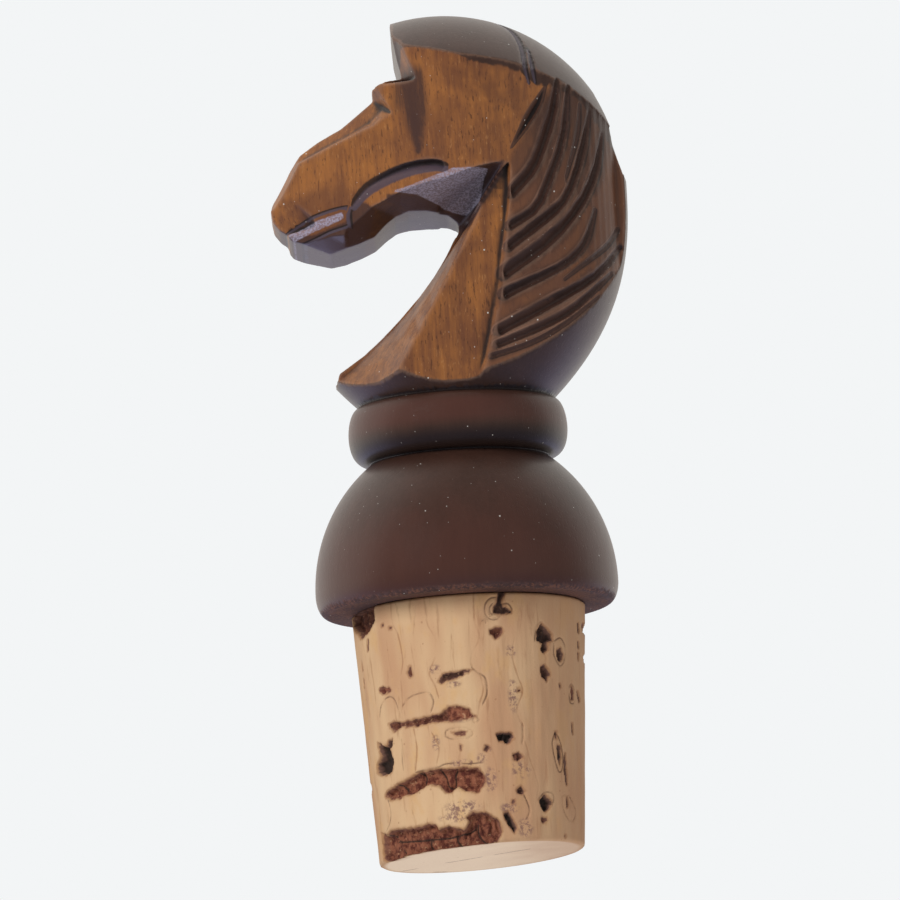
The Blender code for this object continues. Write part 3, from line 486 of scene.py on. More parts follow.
def hardwood(make):
    """Stained and lacquered hardwood: amber on the carved flats, dark where turned, and dark in hollows as stain and
    painted shade.
    """
    place = make.place()
    height = make.parts(place)[2] / MM
    fibres = make.noise(make.upright(place, 0.09), 2800.0, 3.0, 0.62)
    bands = make.noise(make.upright(place, 0.16), 480.0, 2.0, 0.5, 0.4)
    cloud = make.noise(place, 230.0, 3.0, 0.55)
    flecks = make.noise(make.upright(place, 0.22), 5400.0, 2.0, 0.6)
    rough = make.noise(place, 3600.0, 2.0, 0.6)
    pores = make.rise(flecks, 0.60, 0.68)
    tone = fibres * 0.42 + bands * 0.38 + cloud * 0.45
    amber = make.mix(make.rise(tone, 0.44, 0.80), STAIN_AMBER, STAIN_BROWN)
    amber = make.mix(pores * 0.65, amber, PORE_DARK)
    amber = make.mix(make.fall(flecks, 0.30, 0.37) * 0.40, amber, FLECK_PALE)
    blotch = make.noise(make.upright(place, 0.6), 150.0, 3.0, 0.6, 0.6)
    amber = make.mix(make.rise(blotch, 0.48, 0.68) * 0.65, amber, STAIN_BLOTCH)
    wood = mane_colour(make, amber, fibres, cloud, height)
    dark = make.mix(make.rise(tone, 0.4, 0.85), STAIN_DARK, tinted(STAIN_DARK, 0.72))
    ring = make.fall(abs(height - RING_RED_LEVEL), 0.6, 1.9) * (0.35 + 0.5 * cloud)
    dark = make.mix(ring, dark, STAIN_RED)
    dark = make.mix(make.fall(height + 6.0 * (cloud - 0.5), *DOME_RED_END) * 0.55, dark, DOME_RED)
    # Painted shade: the lower groove and the ring's lower half are darkened almost to black
    groove = make.fall(height, *GROOVE_SHADE_END) * make.rise(height, *GROOVE_SHADE_START)
    dark = make.mix(groove * 0.8, dark, DEEP_STAIN_AND_SHADE)
    turned = make.attribute("turned")
    wood = make.mix(make.rise(turned + 0.3 * (fibres - 0.5), 0.2, 0.8), wood, dark)
    patch = make.fall(make.attribute("patch") + 1.5 * (fibres - 0.5) + 1.3 * (cloud - 0.5), 0.45, 1.35)
    wood = make.mix(patch * 0.9, wood, DARK_STAIN_AND_SHADE)
    wood = hollow_colour(make, wood, fibres, cloud)
    # Where the stippled facets lie, for their bump and their painted reflection
    glint_facet = make.rise(make.attribute("glint") + 0.15 * (fibres - 0.5), -0.02, 0.12)
    stipple = make.noise(place, 4600.0, 2.0, 0.7)
    wood = face_colour(make, wood, fibres, glint_facet, stipple)
    raw = make.fall(height + 1.2 * (fibres - 0.5), *RAW_END)
    raw_wood = make.mix(make.rise(rough + 0.6 * (cloud - 0.5), 0.32, 0.56), SEAT_RAW, DARK_STAIN_AND_SHADE)
    wood = make.mix(raw * 0.9, wood, raw_wood)
    dust = make.most(make.specks(place, 850.0, 0.02, 0.075), make.specks(place, 1500.0, 0.0, 0.085) * 0.6)
    wood = make.mix(dust * 0.75, wood, DUST)
    roughness = 0.36 + 0.10 * fibres + 0.10 * (1.0 - turned) + 0.4 * raw + 0.3 * dust
    relief = fibres * 0.5 - pores * 0.7 + rough * 0.8 + glint_facet * stipple * 2.0
    lacquer = {"Specular IOR Level": 0.5, "Coat Weight": 0.2 * (1.0 - raw), "Coat Roughness": 0.22}
    return make.surface(wood, roughness, relief, 0.35, 0.03, lacquer)


def face_colour(make, wood, fibres, glint_facet, stipple):
    """The face: painted shade on down-facing faces and, almost black, below the jaw and on the lower muzzle; the cuts
    with stain, painted shade and painted reflection; and the stippled facets with a painted reflection.
    """
    # Painted shade: carved faces that face down are darkened
    under = make.rise(make.attribute("under"), 0.35, 0.75)
    wood = make.mix(under * 0.75, wood, DEEP_STAIN_AND_SHADE)
    shaded = make.rise(make.attribute("shaded") + 0.2 * (fibres - 0.5), -0.1, 0.2)
    # Painted shade: below the jaw and on the lower muzzle
    wood = make.mix(shaded * 0.85, wood, DARK_STAIN_AND_SHADE)
    # Painted reflection: the stippled facets are painted paler grey-lavender
    wood = make.mix(glint_facet * (0.4 + 0.5 * make.rise(stipple, 0.42, 0.60)), wood, GLINT_SHEEN_GREY)
    offset = make.attribute("cut")
    gap = make.attribute("cut_gap")
    # Cuts: painted shade, black on the steep wall, and a purple-grey painted reflection on the other
    floor = make.mix(make.rise(offset, -0.1, 0.5), PURPLE_STAIN_AND_SHEEN, DEEP_STAIN_AND_SHADE)
    return make.mix(make.fall(gap + 0.3 * (fibres - 0.5), 0.85, 1.15) * 0.9, wood, floor)


def mane_colour(make, amber, fibres, cloud, height):
    """The mane: browner ridges, dark gouged floors with painted shade on one wall, and a thin painted highlight on
    the edge above each.
    """
    offset = make.attribute("lock")
    gap = make.attribute("lock_gap")
    mane = make.attribute("mane")
    wood = make.mix(mane * (0.55 + 0.5 * cloud), amber, STAIN_RIDGE)
    wood = make.mix(mane * make.fall(gap + 0.7 * (cloud - 0.5), 1.2, 2.2) * 0.6, wood, STAIN_DARK)
    upper = make.rise(height + 4.0 * (cloud - 0.5), *MANE_DARK_START)
    wood = make.mix(mane * upper * 0.6, wood, STAIN_DARK)
    floor = make.fall(gap + 0.35 * (fibres - 0.5), 0.95, 1.30)
    # Gouge floors: dark stain, turning to painted shade on the wall that faces away from the light
    wood = make.mix(floor * 0.85, wood, make.mix(make.rise(offset, 0.2, 1.1), STAIN_FLOOR, DEEP_STAIN_AND_SHADE))
    # Painted highlight: a thin pale line where the gouge's edge catches the light
    edge = make.fall(abs(offset + 1.22), 0.05, 0.24) * make.fall(gap, 1.5, 1.7)
    return make.mix(edge * make.rise(cloud, 0.25, 0.8) * 0.8, wood, MANE_EDGE_HIGHLIGHT)


def hollow_colour(make, wood, fibres, cloud):
    """Darker stain and painted shade in the hollows, and paler rubbed ridges."""
    hollow = make.attribute("hollow")
    wide = make.attribute("wide")
    open_share = 1.0 - 0.75 * make.attribute("mane")
    # Stain and painted shade in the wider and the narrow hollows
    wood = make.mix(make.rise(wide, 0.02, 0.30) * 0.75 * open_share, wood, DEEP_STAIN_AND_SHADE)
    narrow = make.rise(hollow + 0.03 * (fibres - 0.5), 0.010, 0.10) * 0.92
    wood = make.mix(narrow * open_share, wood, DEEP_STAIN_AND_SHADE)
    worn = make.fall(hollow, -0.13, -0.04) * (0.2 + 0.6 * cloud)
    return make.mix(worn * 0.5, wood, EDGE_WORN)


def natural_cork(make):
    """Bare cork: tan with upright streaks, and brown or reddish pits."""
    place = make.place()
    across = make.parts(place)[0] / MM
    streaks = make.noise(make.upright(place, 0.14), 1500.0, 4.0, 0.62, 0.5)
    broad = make.noise(make.upright(place, 0.3), 260.0, 2.0, 0.5)
    grain = make.noise(place, 5200.0, 3.0, 0.7)
    patches = make.noise(make.upright(place, 0.6), 420.0, 3.0, 0.6)
    worn = make.noise(place, 1300.0, 4.0, 0.7) - 0.5
    tan = make.mix(make.rise(broad, 0.35, 0.70), CORK_TAN, CORK_WARM)
    tan = make.mix(make.rise(patches, 0.52, 0.68) * 0.5, tan, CORK_GOLD)
    tan = make.mix(make.rise(streaks, 0.56, 0.74) * 0.5, tan, CORK_STREAK)
    tan = make.mix(make.rise(grain, 0.60, 0.78) * 0.3, tan, CORK_STREAK)
    cream = make.mix(make.rise(grain, 0.5, 0.8) * 0.3, CORK_CREAM, CORK_WARM)
    cut_end = make.attribute("cut_end")
    tan = make.mix(cut_end * 0.9, tan, cream)
    stain = make.rise(make.attribute("stain") + 0.3 * (grain - 0.5), 0.15, 0.8)
    tan = make.mix(stain * 0.5, tan, CORK_STREAK)
    tan = make.mix(make.rise(across + 6.0 * (broad - 0.5), -1.0, 10.0) * 0.55, tan, CORK_SHADED)
    crumbs = make.attribute("crumbs") * make.rise(make.noise(place, 2000.0, 4.0, 0.75), 0.44, 0.58)
    tan = make.mix(crumbs * 0.85, tan, CORK_GREY)
    tan = make.mix(make.specks(place, 900.0, 0.0, 0.11) * 0.45, tan, CORK_STREAK)
    crack = make.fall(abs(make.attribute("crack")) + 0.16 * worn, 0.03, 0.13)
    crack = crack * make.fall(make.attribute("crack_gap"), 0.15, 0.25)
    shown = make.most(make.rise(patches + 0.3 * worn, 0.38, 0.60) * 0.75, cut_end)
    tan = make.mix(crack * shown, tan, CRACK)
    seam = make.fall(abs(make.attribute("seam")) + 0.2 * worn, 0.02, 0.14)
    seam = seam * make.fall(make.attribute("seam_gap"), 0.2, 0.3)
    tan = make.mix(seam * make.rise(patches, 0.40, 0.60) * 0.6, tan, CORK_STREAK)
    pit = make.attribute("pit")
    tan = make.mix(make.rise(pit + 0.25 * worn, -0.22, -0.01) * 0.55, tan, CORK_STREAK)
    colour = make.mix(make.rise(pit + 0.22 * worn, -0.02, 0.06), tan, pit_colour(make, place, pit, grain, crack))
    relief = streaks * 0.5 + grain * 0.8 - crack * 0.8 - seam * 0.5
    return make.surface(colour, 0.80 + 0.1 * grain, relief, 0.5, 0.05, {"Specular IOR Level": 0.25})


def pit_colour(make, place, pit, grain, crack):
    """The inside of the cork's pits: brown or reddish, darker deeper in, partly as dark cork and partly as painted
    shade, and paler at the rim.
    """
    red = make.attribute("red")
    rock = make.noise(place, 1500.0, 4.0, 0.7)
    reddish = make.mix(make.rise(rock, 0.42, 0.62), PIT_RED, PIT_RED_DARK)
    inside = make.mix(red, make.mix(make.rise(rock, 0.5, 0.7), PIT_BROWN, PIT_DARK_AND_SHADE), reddish)
    # Darker pit cores: dark cork and painted shade
    inside = make.mix(make.rise(make.attribute("dark") + 0.5 * (grain - 0.5), 0.2, 1.0), inside, PIT_DARK_AND_SHADE)
    rim = make.fall(pit + 0.3 * (rock - 0.5), 0.05, 0.20) * (0.75 - 0.35 * red)
    inside = make.mix(rim, inside, PIT_RIM)
    pale = make.rise(make.noise(place, 1900.0, 3.0, 0.7), 0.60, 0.68) * 0.6
    inside = make.mix(pale * red, inside, CORK_WARM)
    return make.mix(crack * 0.8, inside, PIT_DARK_AND_SHADE)


def peg_wood(make):
    """Pale bare wood of the hidden peg."""
    fibres = make.noise(make.upright(make.place(), 0.08), 2200.0, 3.0, 0.6)
    return make.surface(make.mix(fibres, PEG_PALE, CORK_STREAK), 0.7, fibres, 0.3, 0.03)


def rows_of(items, name, columns, kind=float):
    """What a mesh keeps for each of its points or edges, one row each."""
    flat = np.empty(len(items) * columns, dtype=kind)
    items.foreach_get(name, flat)
    return flat.reshape(-1, columns)


def points_of(mesh):
    """A mesh's points in millimetres."""
    return rows_of(mesh.vertices, "co", 3) / MM


def set_points(mesh, points):
    """Put points in millimetres back on a mesh."""
    mesh.vertices.foreach_set("co", (points * MM).ravel())
    mesh.update()


def normals_of(mesh):
    """The outward direction at each point of a mesh."""
    return rows_of(mesh.vertex_normals, "vector", 3)


def edges_of(mesh):
    """Pairs of points that share an edge."""
    return rows_of(mesh.edges, "vertices", 2, np.int64)


def relaxed(values, edges, rounds, share=0.5):
    """Values at the points, each drawn towards its neighbours' mean."""
    count = len(values)
    near = np.bincount(edges.ravel(), minlength=count).astype(float)
    near[near == 0] = 1.0
    result = values.copy().reshape(count, -1)
    for _ in range(rounds):
        for column in range(result.shape[1]):
            total = np.bincount(edges[:, 0], result[edges[:, 1], column], count)
            total += np.bincount(edges[:, 1], result[edges[:, 0], column], count)
            result[:, column] += share * (total / near - result[:, column])
    return result.reshape(values.shape)


def depth_below_mean(mesh, points, rounds):
    """How far each point lies in a hollow, as its depth below its surroundings."""
    soft = relaxed(points, edges_of(mesh), rounds, 0.8)
    return ((soft - points) * normals_of(mesh)).sum(axis=1)


def ramp_up(value, low, high):
    """0 below the low value, 1 above the high one, smooth between, for arrays."""
    share = np.clip((value - low) / (high - low), 0.0, 1.0)
    return share * share * (3.0 - 2.0 * share)


def ripple(points, wavelength, seed, waves=14):
    """A smooth random field over the points, about -1 to 1."""
    random = np.random.default_rng(seed)
    total = np.zeros(len(points))
    for _ in range(waves):
        way = random.normal(size=3)
        way *= math.tau / wavelength * random.uniform(0.6, 1.4) / np.linalg.norm(way)
        total += np.sin(points @ way + random.uniform(0.0, math.tau))
    return total * math.sqrt(2.0 / waves) / 1.6


def smooth_line(points, steps=5):
    """A smooth line through the given points, as an array of rows."""
    corners = np.array([points[0], *points, points[-1]], dtype=float)
    made = []
    for before, start, end, after in zip(corners, corners[1:], corners[2:], corners[3:]):
        for share in np.arange(steps) / steps:
            bend = 2 * before - 5 * start + 4 * end - after
            twist = 3 * (start - end) + after - before
            made.append(start + ((end - before) + (bend + twist * share) * share) * share / 2)
    return np.array(made + [corners[-1]])


def from_segment(spots, start, end):
    """How far along a straight piece of line each spot lies, and its offset from there."""
    way = end - start
    share = np.clip(((spots - start) @ way) / (way @ way), 0.0, 1.0)
    return share, spots - start - share[:, None] * way


def beside_lines(spots, lines, reach):
    """Signed distance to the nearest of the lines, positive on the left of its way, its
    size, and the line's width there."""
    signed = np.full(len(spots), reach)
    gap = np.full(len(spots), reach)
    width = np.ones(len(spots))
    for line in lines:
        made = smooth_line(line)
        low = made[:, :2].min(axis=0) - reach
        high = made[:, :2].max(axis=0) + reach
        near = np.flatnonzero(((spots > low) & (spots < high)).all(axis=1))
        for start, end in zip(made, made[1:]):
            way = end[:2] - start[:2]
            share, offset = from_segment(spots[near], start[:2], end[:2])
            size = np.hypot(*offset.T)
            closer = size < gap[near]
            index = near[closer]
            gap[index] = size[closer]
            side = way[0] * offset[closer, 1] - way[1] * offset[closer, 0]
            signed[index] = np.where(side < 0.0, -size[closer], size[closer])
            if made.shape[1] > 2:
                width[index] = (start[2] + (end[2] - start[2]) * share)[closer]
    return signed, gap, width


def inside_depth(spots, outline):
    """How far each spot lies inside a closed outline, and below 0 outside it."""
    corners = np.array(outline)
    gap = np.full(len(spots), np.inf)
    inside = np.zeros(len(spots), dtype=bool)
    for start, end in zip(corners, np.roll(corners, -1, axis=0)):
        gap = np.minimum(gap, np.hypot(*from_segment(spots, start, end)[1].T))
        crosses = (start[1] > spots[:, 1]) != (end[1] > spots[:, 1])
        run, rise = end - start
        inside ^= crosses & (spots[:, 0] < start[0] + (spots[:, 1] - start[1]) * run / (rise or 1.0))
    return np.where(inside, gap, -gap)


def turned_outline():
    """Dense points (radius, height) of the head's turned outline, in mm."""
    rows = []
    for angle in np.linspace(0.0, math.pi / 2, 420):
        rows.append((BALL_RADIUS * math.sin(angle), BALL_LEVEL + BALL_RADIUS * math.cos(angle)))
    for share in np.linspace(0.0, 1.0, 320):
        radius = UPPER_GROOVE_RADIUS + (BALL_RADIUS - UPPER_GROOVE_RADIUS) * (1.0 - share ** SHOULDER_POWER)
        rows.append((radius, BALL_LEVEL - SHOULDER_HEIGHT * share))
    for share in np.linspace(0.0, 1.0, 160):
        angle = math.pi * share
        groove = UPPER_GROOVE_RADIUS + (LOWER_GROOVE_RADIUS - UPPER_GROOVE_RADIUS) * share
        radius = groove + (RING_RADIUS - groove) * math.sin(angle) ** 0.7
        rows.append((radius, RING_LEVEL + RING_HEIGHT / 2 * math.cos(angle)))
    stop = math.asin(LOWER_GROOVE_RADIUS / DOME_RADIUS)
    rim_level = SEAT_LEVEL + RIM_HEIGHT
    for angle in np.linspace(stop, math.pi / 2, 260):
        rise = math.cos(angle) / math.cos(stop) * (LOWER_GROOVE_LEVEL - rim_level)
        rows.append((DOME_RADIUS * math.sin(angle), rim_level + rise))
    for angle in np.linspace(0.0, math.pi / 2, 60):
        radius = SEAT_RADIUS + (DOME_RADIUS - SEAT_RADIUS) * math.cos(angle)
        rows.append((radius, SEAT_LEVEL + RIM_HEIGHT * (1.0 - math.sin(angle))))
    return np.array(rows)


def nearest_on_outline(points, outline):
    """For each point, its distance to the turned outline and the nearest place on it."""
    flat = np.column_stack((np.hypot(points[:, 0], points[:, 1]), points[:, 2]))
    distance = np.empty(len(flat))
    place = np.empty_like(flat)
    starts = outline[:-1]
    ways = np.diff(outline, axis=0)
    lengths = np.maximum((ways ** 2).sum(axis=1), 1e-12)
    for first in range(0, len(flat), 8000):
        chunk = flat[first:first + 8000]
        gaps = ((chunk[:, None, :] - outline[None, :, :]) ** 2).sum(axis=2)
        near = gaps.argmin(axis=1)
        best = np.full(len(chunk), np.inf)
        spot = np.zeros_like(chunk)
        for step in (-1, 0):
            index = np.clip(near + step, 0, len(starts) - 1)
            share = ((chunk - starts[index]) * ways[index]).sum(axis=1) / lengths[index]
            made = starts[index] + np.clip(share, 0.0, 1.0)[:, None] * ways[index]
            gap = np.hypot(*(chunk - made).T)
            better = gap < best
            best[better] = gap[better]
            spot[better] = made[better]
        distance[first:first + 8000] = best
        place[first:first + 8000] = spot
    return distance, place


def merged_copy(source, name):
    """A copy of a CAD node with its loose triangles joined."""
    bm = bmesh.new()
    bm.from_mesh(source.data)
    bmesh.ops.remove_doubles(bm, verts=bm.verts, dist=0.000001)
    mesh = bpy.data.meshes.new(name)
    bm.to_mesh(mesh)
    bm.free()
    item = bpy.data.objects.new(name, mesh)
    bpy.context.scene.collection.objects.link(item)
    return item


def apply_modifiers(item):
    """Replace an object's mesh by what its modifiers make of it."""
    evaluated = item.evaluated_get(bpy.context.evaluated_depsgraph_get())
    mesh = bpy.data.meshes.new_from_object(evaluated)
    old = item.data
    item.modifiers.clear()
    item.data = mesh
    mesh.name = item.name
    bpy.data.meshes.remove(old)
    return mesh


def finish_mesh(mesh, material, fields):
    """Shade a mesh smoothly, give it its material and keep its numbers for the shader."""
    mesh.polygons.foreach_set("use_smooth", np.ones(len(mesh.polygons), dtype=bool))
    mesh.materials.clear()
    mesh.materials.append(material)
    for name, values in fields.items():
        layer = mesh.attributes.new(name, "FLOAT", "POINT")
        layer.data.foreach_set("value", np.asarray(values, dtype=np.float32))


def carried_over(old_points, new_points, columns):
    """Values of the nearest old point at each new point."""
    tree = kdtree.KDTree(len(old_points))
    for index, point in enumerate(old_points):
        tree.insert(point, index)
    tree.balance()
    near = np.array([tree.find(point)[1] for point in new_points])
    return [column[near] for column in columns]


def round_the_turning(points):
    """Points pulled onto the true turned outline, and which of them are turned."""
    distance, place = nearest_on_outline(points, turned_outline())
    outward = np.hypot(points[:, 0], points[:, 1])
    skin = distance < SNAP_REACH
    scale = np.where(outward > 1e-6, place[:, 0] / np.maximum(outward, 1e-6), 1.0)
    made = points.copy()
    made[skin, 0] *= scale[skin]
    made[skin, 1] *= scale[skin]
    made[skin, 2] = place[skin, 1]
    return made, skin.astype(float)


def carving_fields(points):
    """Where the mane's gouges, the stain patch, the face's cuts, the painted shade below the jaw and the stippled
    facets lie.
    """
    flat = points[:, (0, 2)] - (0.0, BALL_LEVEL)
    signed, gap, width = beside_lines(flat, MANE_LOCKS, 2.4)
    _, patch_gap, patch_width = beside_lines(flat, [PATCH_LINE], 4.0)
    cut, cut_gap, cut_width = beside_lines(flat, FACE_CUTS, 1.6)
    shaded = np.maximum.reduce([inside_depth(flat, outline) for outline in SHADED_FIELDS])
    glint = np.maximum.reduce([inside_depth(flat, outline) for outline in GLINT_FIELDS])
    return {
        "lock": np.clip(2.0 * signed / width, -3.0, 3.0),
        "lock_gap": np.clip(2.0 * gap / width, 0.0, 3.0),
        "patch": np.clip(2.0 * patch_gap / patch_width, 0.0, 3.0),
        "mane": ramp_up(inside_depth(flat, MANE_FIELD), -0.1, 0.8),
        "cut": np.clip(2.0 * cut / cut_width, -3.0, 3.0),
        "cut_gap": np.clip(2.0 * cut_gap / cut_width, 0.0, 3.0),
        "shaded": np.clip(shaded, -0.6, 0.6),
        "glint": np.clip(glint, -0.6, 0.6),
    }


def build_head(frame, material):
    """The carved head: the model's solid with its turned skin made round and its cuts softened."""
    head = merged_copy(frame["nodes"]["carved_head"], "stained_head")
    remesh = head.modifiers.new("Voxels", "REMESH")
    remesh.mode = "VOXEL"
    remesh.voxel_size = VOXEL * MM
    mesh = apply_modifiers(head)
    edges = edges_of(mesh)
    points, skin = round_the_turning(relaxed(points_of(mesh), edges, 2))
    set_points(mesh, points)
    carved = 1.0 - relaxed(skin, edges, 6)
    marks = 0.010 * ripple(points, 4.5, SEED + 1) + 0.004 * ripple(points, 1.2, SEED + 2)
    points = points + normals_of(mesh) * (marks * carved)[:, None]
    set_points(mesh, points)
    # Depth below the surroundings, for the darker stain and painted shade in hollows
    hollow = depth_below_mean(mesh, points, 26)
    turned = relaxed(skin, edges, 4)
    decimate = head.modifiers.new("Fewer faces", "DECIMATE")
    decimate.ratio = min(1.0, HEAD_TRIANGLES / (2.0 * len(mesh.polygons)))
    mesh = apply_modifiers(head)
    final = points_of(mesh)
    fields = dict(zip(("hollow", "turned"), carried_over(points, final, (hollow, turned))))
    # Depth in wider hollows, for the stain and painted shade that gather there
    fields["wide"] = depth_below_mean(mesh, final, 60)
    # Painted shade: how much each carved face above the jaw's level faces down
    fields["under"] = -normals_of(mesh)[:, 2] * (1.0 - fields["turned"]) * (final[:, 2] > JAW_LEVEL)
    crown = inside_depth(final[:, (0, 2)] - (0.0, BALL_LEVEL), CROWN_FIELD)
    fields["turned"] = np.maximum(fields["turned"], ramp_up(crown, -0.15, 0.15))
    fields.update(carving_fields(final))
    finish_mesh(mesh, material, fields)
    return head


def cork_radius(height):
    """Radius of the cork's taper at a height, in mm."""
    return CORK_FOOT_RADIUS + (CORK_TOP_RADIUS - CORK_FOOT_RADIUS) * height / CORK_DRAWN_TOP


def hidden_pits():
    """Pits like the ones in front, for the sides that the photo doesn't show."""
    random = np.random.default_rng(SEED + 5)
    made = []
    for _ in range(HIDDEN_PITS):
        around = random.uniform(16.5, 50.0)
        up = random.uniform(1.5, 22.4)
        if random.uniform() < 0.25:
            size = (random.uniform(1.0, 3.2), random.uniform(0.35, 0.8))
            red, dark = random.uniform(0.6, 1.0), random.uniform(0.0, 0.4)
        else:
            size = (random.uniform(0.15, 0.45), random.uniform(0.3, 1.0))
            red, dark = random.uniform(0.0, 0.6), random.uniform(0.4, 1.0)
        outline = []
        for angle in np.arange(10) * math.tau / 10:
            reach = random.uniform(0.75, 1.2)
            outline.append((around + size[0] * reach * math.cos(angle), up + size[1] * reach * math.sin(angle)))
        made.append((random.uniform(0.4, 0.8), red, dark, outline))
    return made


def pit_fields(spots, points):
    """Depth of the pits, how far inside one each point lies, and how red and dark it is."""
    shift = np.column_stack((ripple(points, 0.8, SEED + 6), ripple(points, 0.8, SEED + 7))) * 0.07
    shift += np.column_stack((ripple(points, 0.35, SEED + 12), ripple(points, 0.35, SEED + 13))) * 0.035
    depth = np.zeros(len(spots))
    inside = np.full(len(spots), -0.5)
    red = np.zeros(len(spots))
    dark = np.zeros(len(spots))
    for deep, redness, darkness, outline in CORK_PITS + hidden_pits():
        corners = np.array(outline)
        far = spots.copy()
        if corners[:, 0].max() > BACK_START:
            far[:, 0] += np.where(far[:, 0] < 0.0, math.tau * cork_radius(points[:, 2]), 0.0)
        near = ((far > corners.min(axis=0) - 0.7) & (far < corners.max(axis=0) + 0.7)).all(axis=1)
        within = inside_depth(far[near] + shift[near], outline)
        index = np.flatnonzero(near)
        depth[index] = np.maximum(depth[index], deep * ramp_up(within, -0.06, 0.22))
        better = within > inside[index]
        inside[index[better]] = within[better]
        red[index[better]] = redness
        dark[index[better]] = darkness
    return depth, {"pit": np.clip(inside, -0.5, 0.5), "red": red, "dark": dark}


def line_pair(name, spots, lines):
    """The signed and the plain distance to some lines, under the names the shader reads."""
    signed, gap, _ = beside_lines(spots, lines, LINE_REACH)
    return {name: signed, f"{name}_gap": gap}


def crumb_field(spots):
    """Where the cork is crumbly, from 0 to 1."""
    made = np.zeros(len(spots))
    for around, up, half_width, half_height in CORK_CRUMBS:
        reach = np.hypot((spots[:, 0] - around) / half_width, (spots[:, 1] - up) / half_height)
        made = np.maximum(made, 1.0 - ramp_up(reach, 0.6, 1.3))
    return made


def build_cork(material):
    """The cork: a tapered skin with real pits, closed at the foot and the top."""
    turn = np.linspace(-math.pi, math.pi, CORK_COLUMNS, endpoint=False)
    turn = turn - CORK_CROWDING * np.sin(turn)
    angle = np.tile(turn, CORK_ROWS)
    share = np.repeat(np.linspace(0.0, 1.0, CORK_ROWS), CORK_COLUMNS)
    foot = CORK_FOOT_RADIUS * np.sin(angle) * math.tan(FOOT_SLANT)
    height = foot + share * (CORK_TOP - foot)
    radius = cork_radius(height)
    edge = np.minimum(height - foot, CORK_TOP - height)
    radius = radius - CORK_EDGE * (1.0 - np.sqrt(1.0 - (1.0 - np.clip(edge / CORK_EDGE, 0.0, 1.0)) ** 2))
    points = np.column_stack((radius * np.sin(angle), -radius * np.cos(angle), height))
    spots = np.column_stack((angle * cork_radius(height), height))
    depth, fields = pit_fields(spots, points)
    fields.update(line_pair("crack", spots, CORK_CRACKS))
    fields.update(line_pair("seam", spots, CORK_SEAMS))
    fields["crumbs"] = crumb_field(spots)
    upright = np.column_stack((points[:, 0], points[:, 1], points[:, 2] * 0.14))
    skin = 0.030 * ripple(upright, 1.6, SEED + 8) + 0.012 * ripple(upright, 0.6, SEED + 9)
    inner = np.column_stack((points[:, 0] * 1.6, points[:, 1] * 1.6, points[:, 2] * 0.6))
    crumbs = 0.30 * np.abs(ripple(inner, 1.1, SEED + 10)) * ramp_up(depth, 0.1, 0.5)
    cracks = 0.10 * (1.0 - ramp_up(fields["crack_gap"], 0.0, 0.14)) * (1.0 + ramp_up(depth, 0.1, 0.5))
    pulled = np.maximum(depth - crumbs, 0.0) + 0.05 + skin + cracks
    pulled *= ramp_up(edge, -0.05, 0.14) * 0.9 + 0.1
    radius = radius - pulled
    points = np.column_stack((radius * np.sin(angle), -radius * np.cos(angle), height))
    return cork_mesh(points, depth, fields, material)


def cork_mesh(points, depth, fields, material):
    """The mesh of the cork, with a fan of rings across each end."""
    faces = []
    for row in range(CORK_ROWS - 1):
        faces += band(row * CORK_COLUMNS, (row + 1) * CORK_COLUMNS, False)
    rows = [points]
    count = len(points)
    for start, flip in ((0, True), ((CORK_ROWS - 1) * CORK_COLUMNS, False)):
        border = points[start:start + CORK_COLUMNS]
        middle = border.mean(axis=0)
        last = start
        for ring in range(1, CORK_RINGS):
            row = middle + (border - middle) * (1.0 - ring / CORK_RINGS)
            rows.append(row)
            faces += band(last, count, flip)
            last = count
            count += CORK_COLUMNS
        rows.append(middle[None, :])
        for column in range(CORK_COLUMNS):
            after = (column + 1) % CORK_COLUMNS
            faces.append((last + after, last + column, count) if flip else (last + column, last + after, count))
        count += 1
    everything = np.vstack(rows)
    mesh = bpy.data.meshes.new("cork_plug")
    mesh.from_pydata((everything * MM).tolist(), [], faces)
    ends = count - len(points)
    added = line_pair("crack", everything[len(points):, :2], FOOT_CRACKS)
    added.update({"pit": -0.5, "red": 0.0, "dark": 0.0, "crumbs": 0.0})
    added.update({"seam": LINE_REACH, "seam_gap": LINE_REACH})
    for name, value in added.items():
        fields[name] = np.concatenate((fields[name], np.broadcast_to(value, ends)))
    fields["cut_end"] = np.concatenate((np.zeros(len(points)), np.ones(ends)))
    deep = np.concatenate((np.clip(depth / 0.4, 0.0, 1.0), np.zeros(ends)))
    fields["stain"] = np.clip(relaxed(deep, edges_of(mesh), 16, 0.9) * 1.3, 0.0, 1.0)
    finish_mesh(mesh, material, fields)
    item = bpy.data.objects.new("cork_plug", mesh)
    bpy.context.scene.collection.objects.link(item)
    return item


def band(inner, outer, flip):
    """The faces between two rings of points."""
    made = []
    for column in range(CORK_COLUMNS):
        after = (column + 1) % CORK_COLUMNS
        face = (inner + column, inner + after, outer + after, outer + column)
        made.append(face[::-1] if flip else face)
    return made


def floor_material(make):
    """A pale floor that isn't there when seen from below."""
    pale = make.node("ShaderNodeBsdfDiffuse", {"Color": BACKDROP})
    clear = make.node("ShaderNodeBsdfTransparent")
    below = make.node("ShaderNodeNewGeometry", output=6)
    return make.node("ShaderNodeMixShader", {0: below, 1: pale, 2: clear})


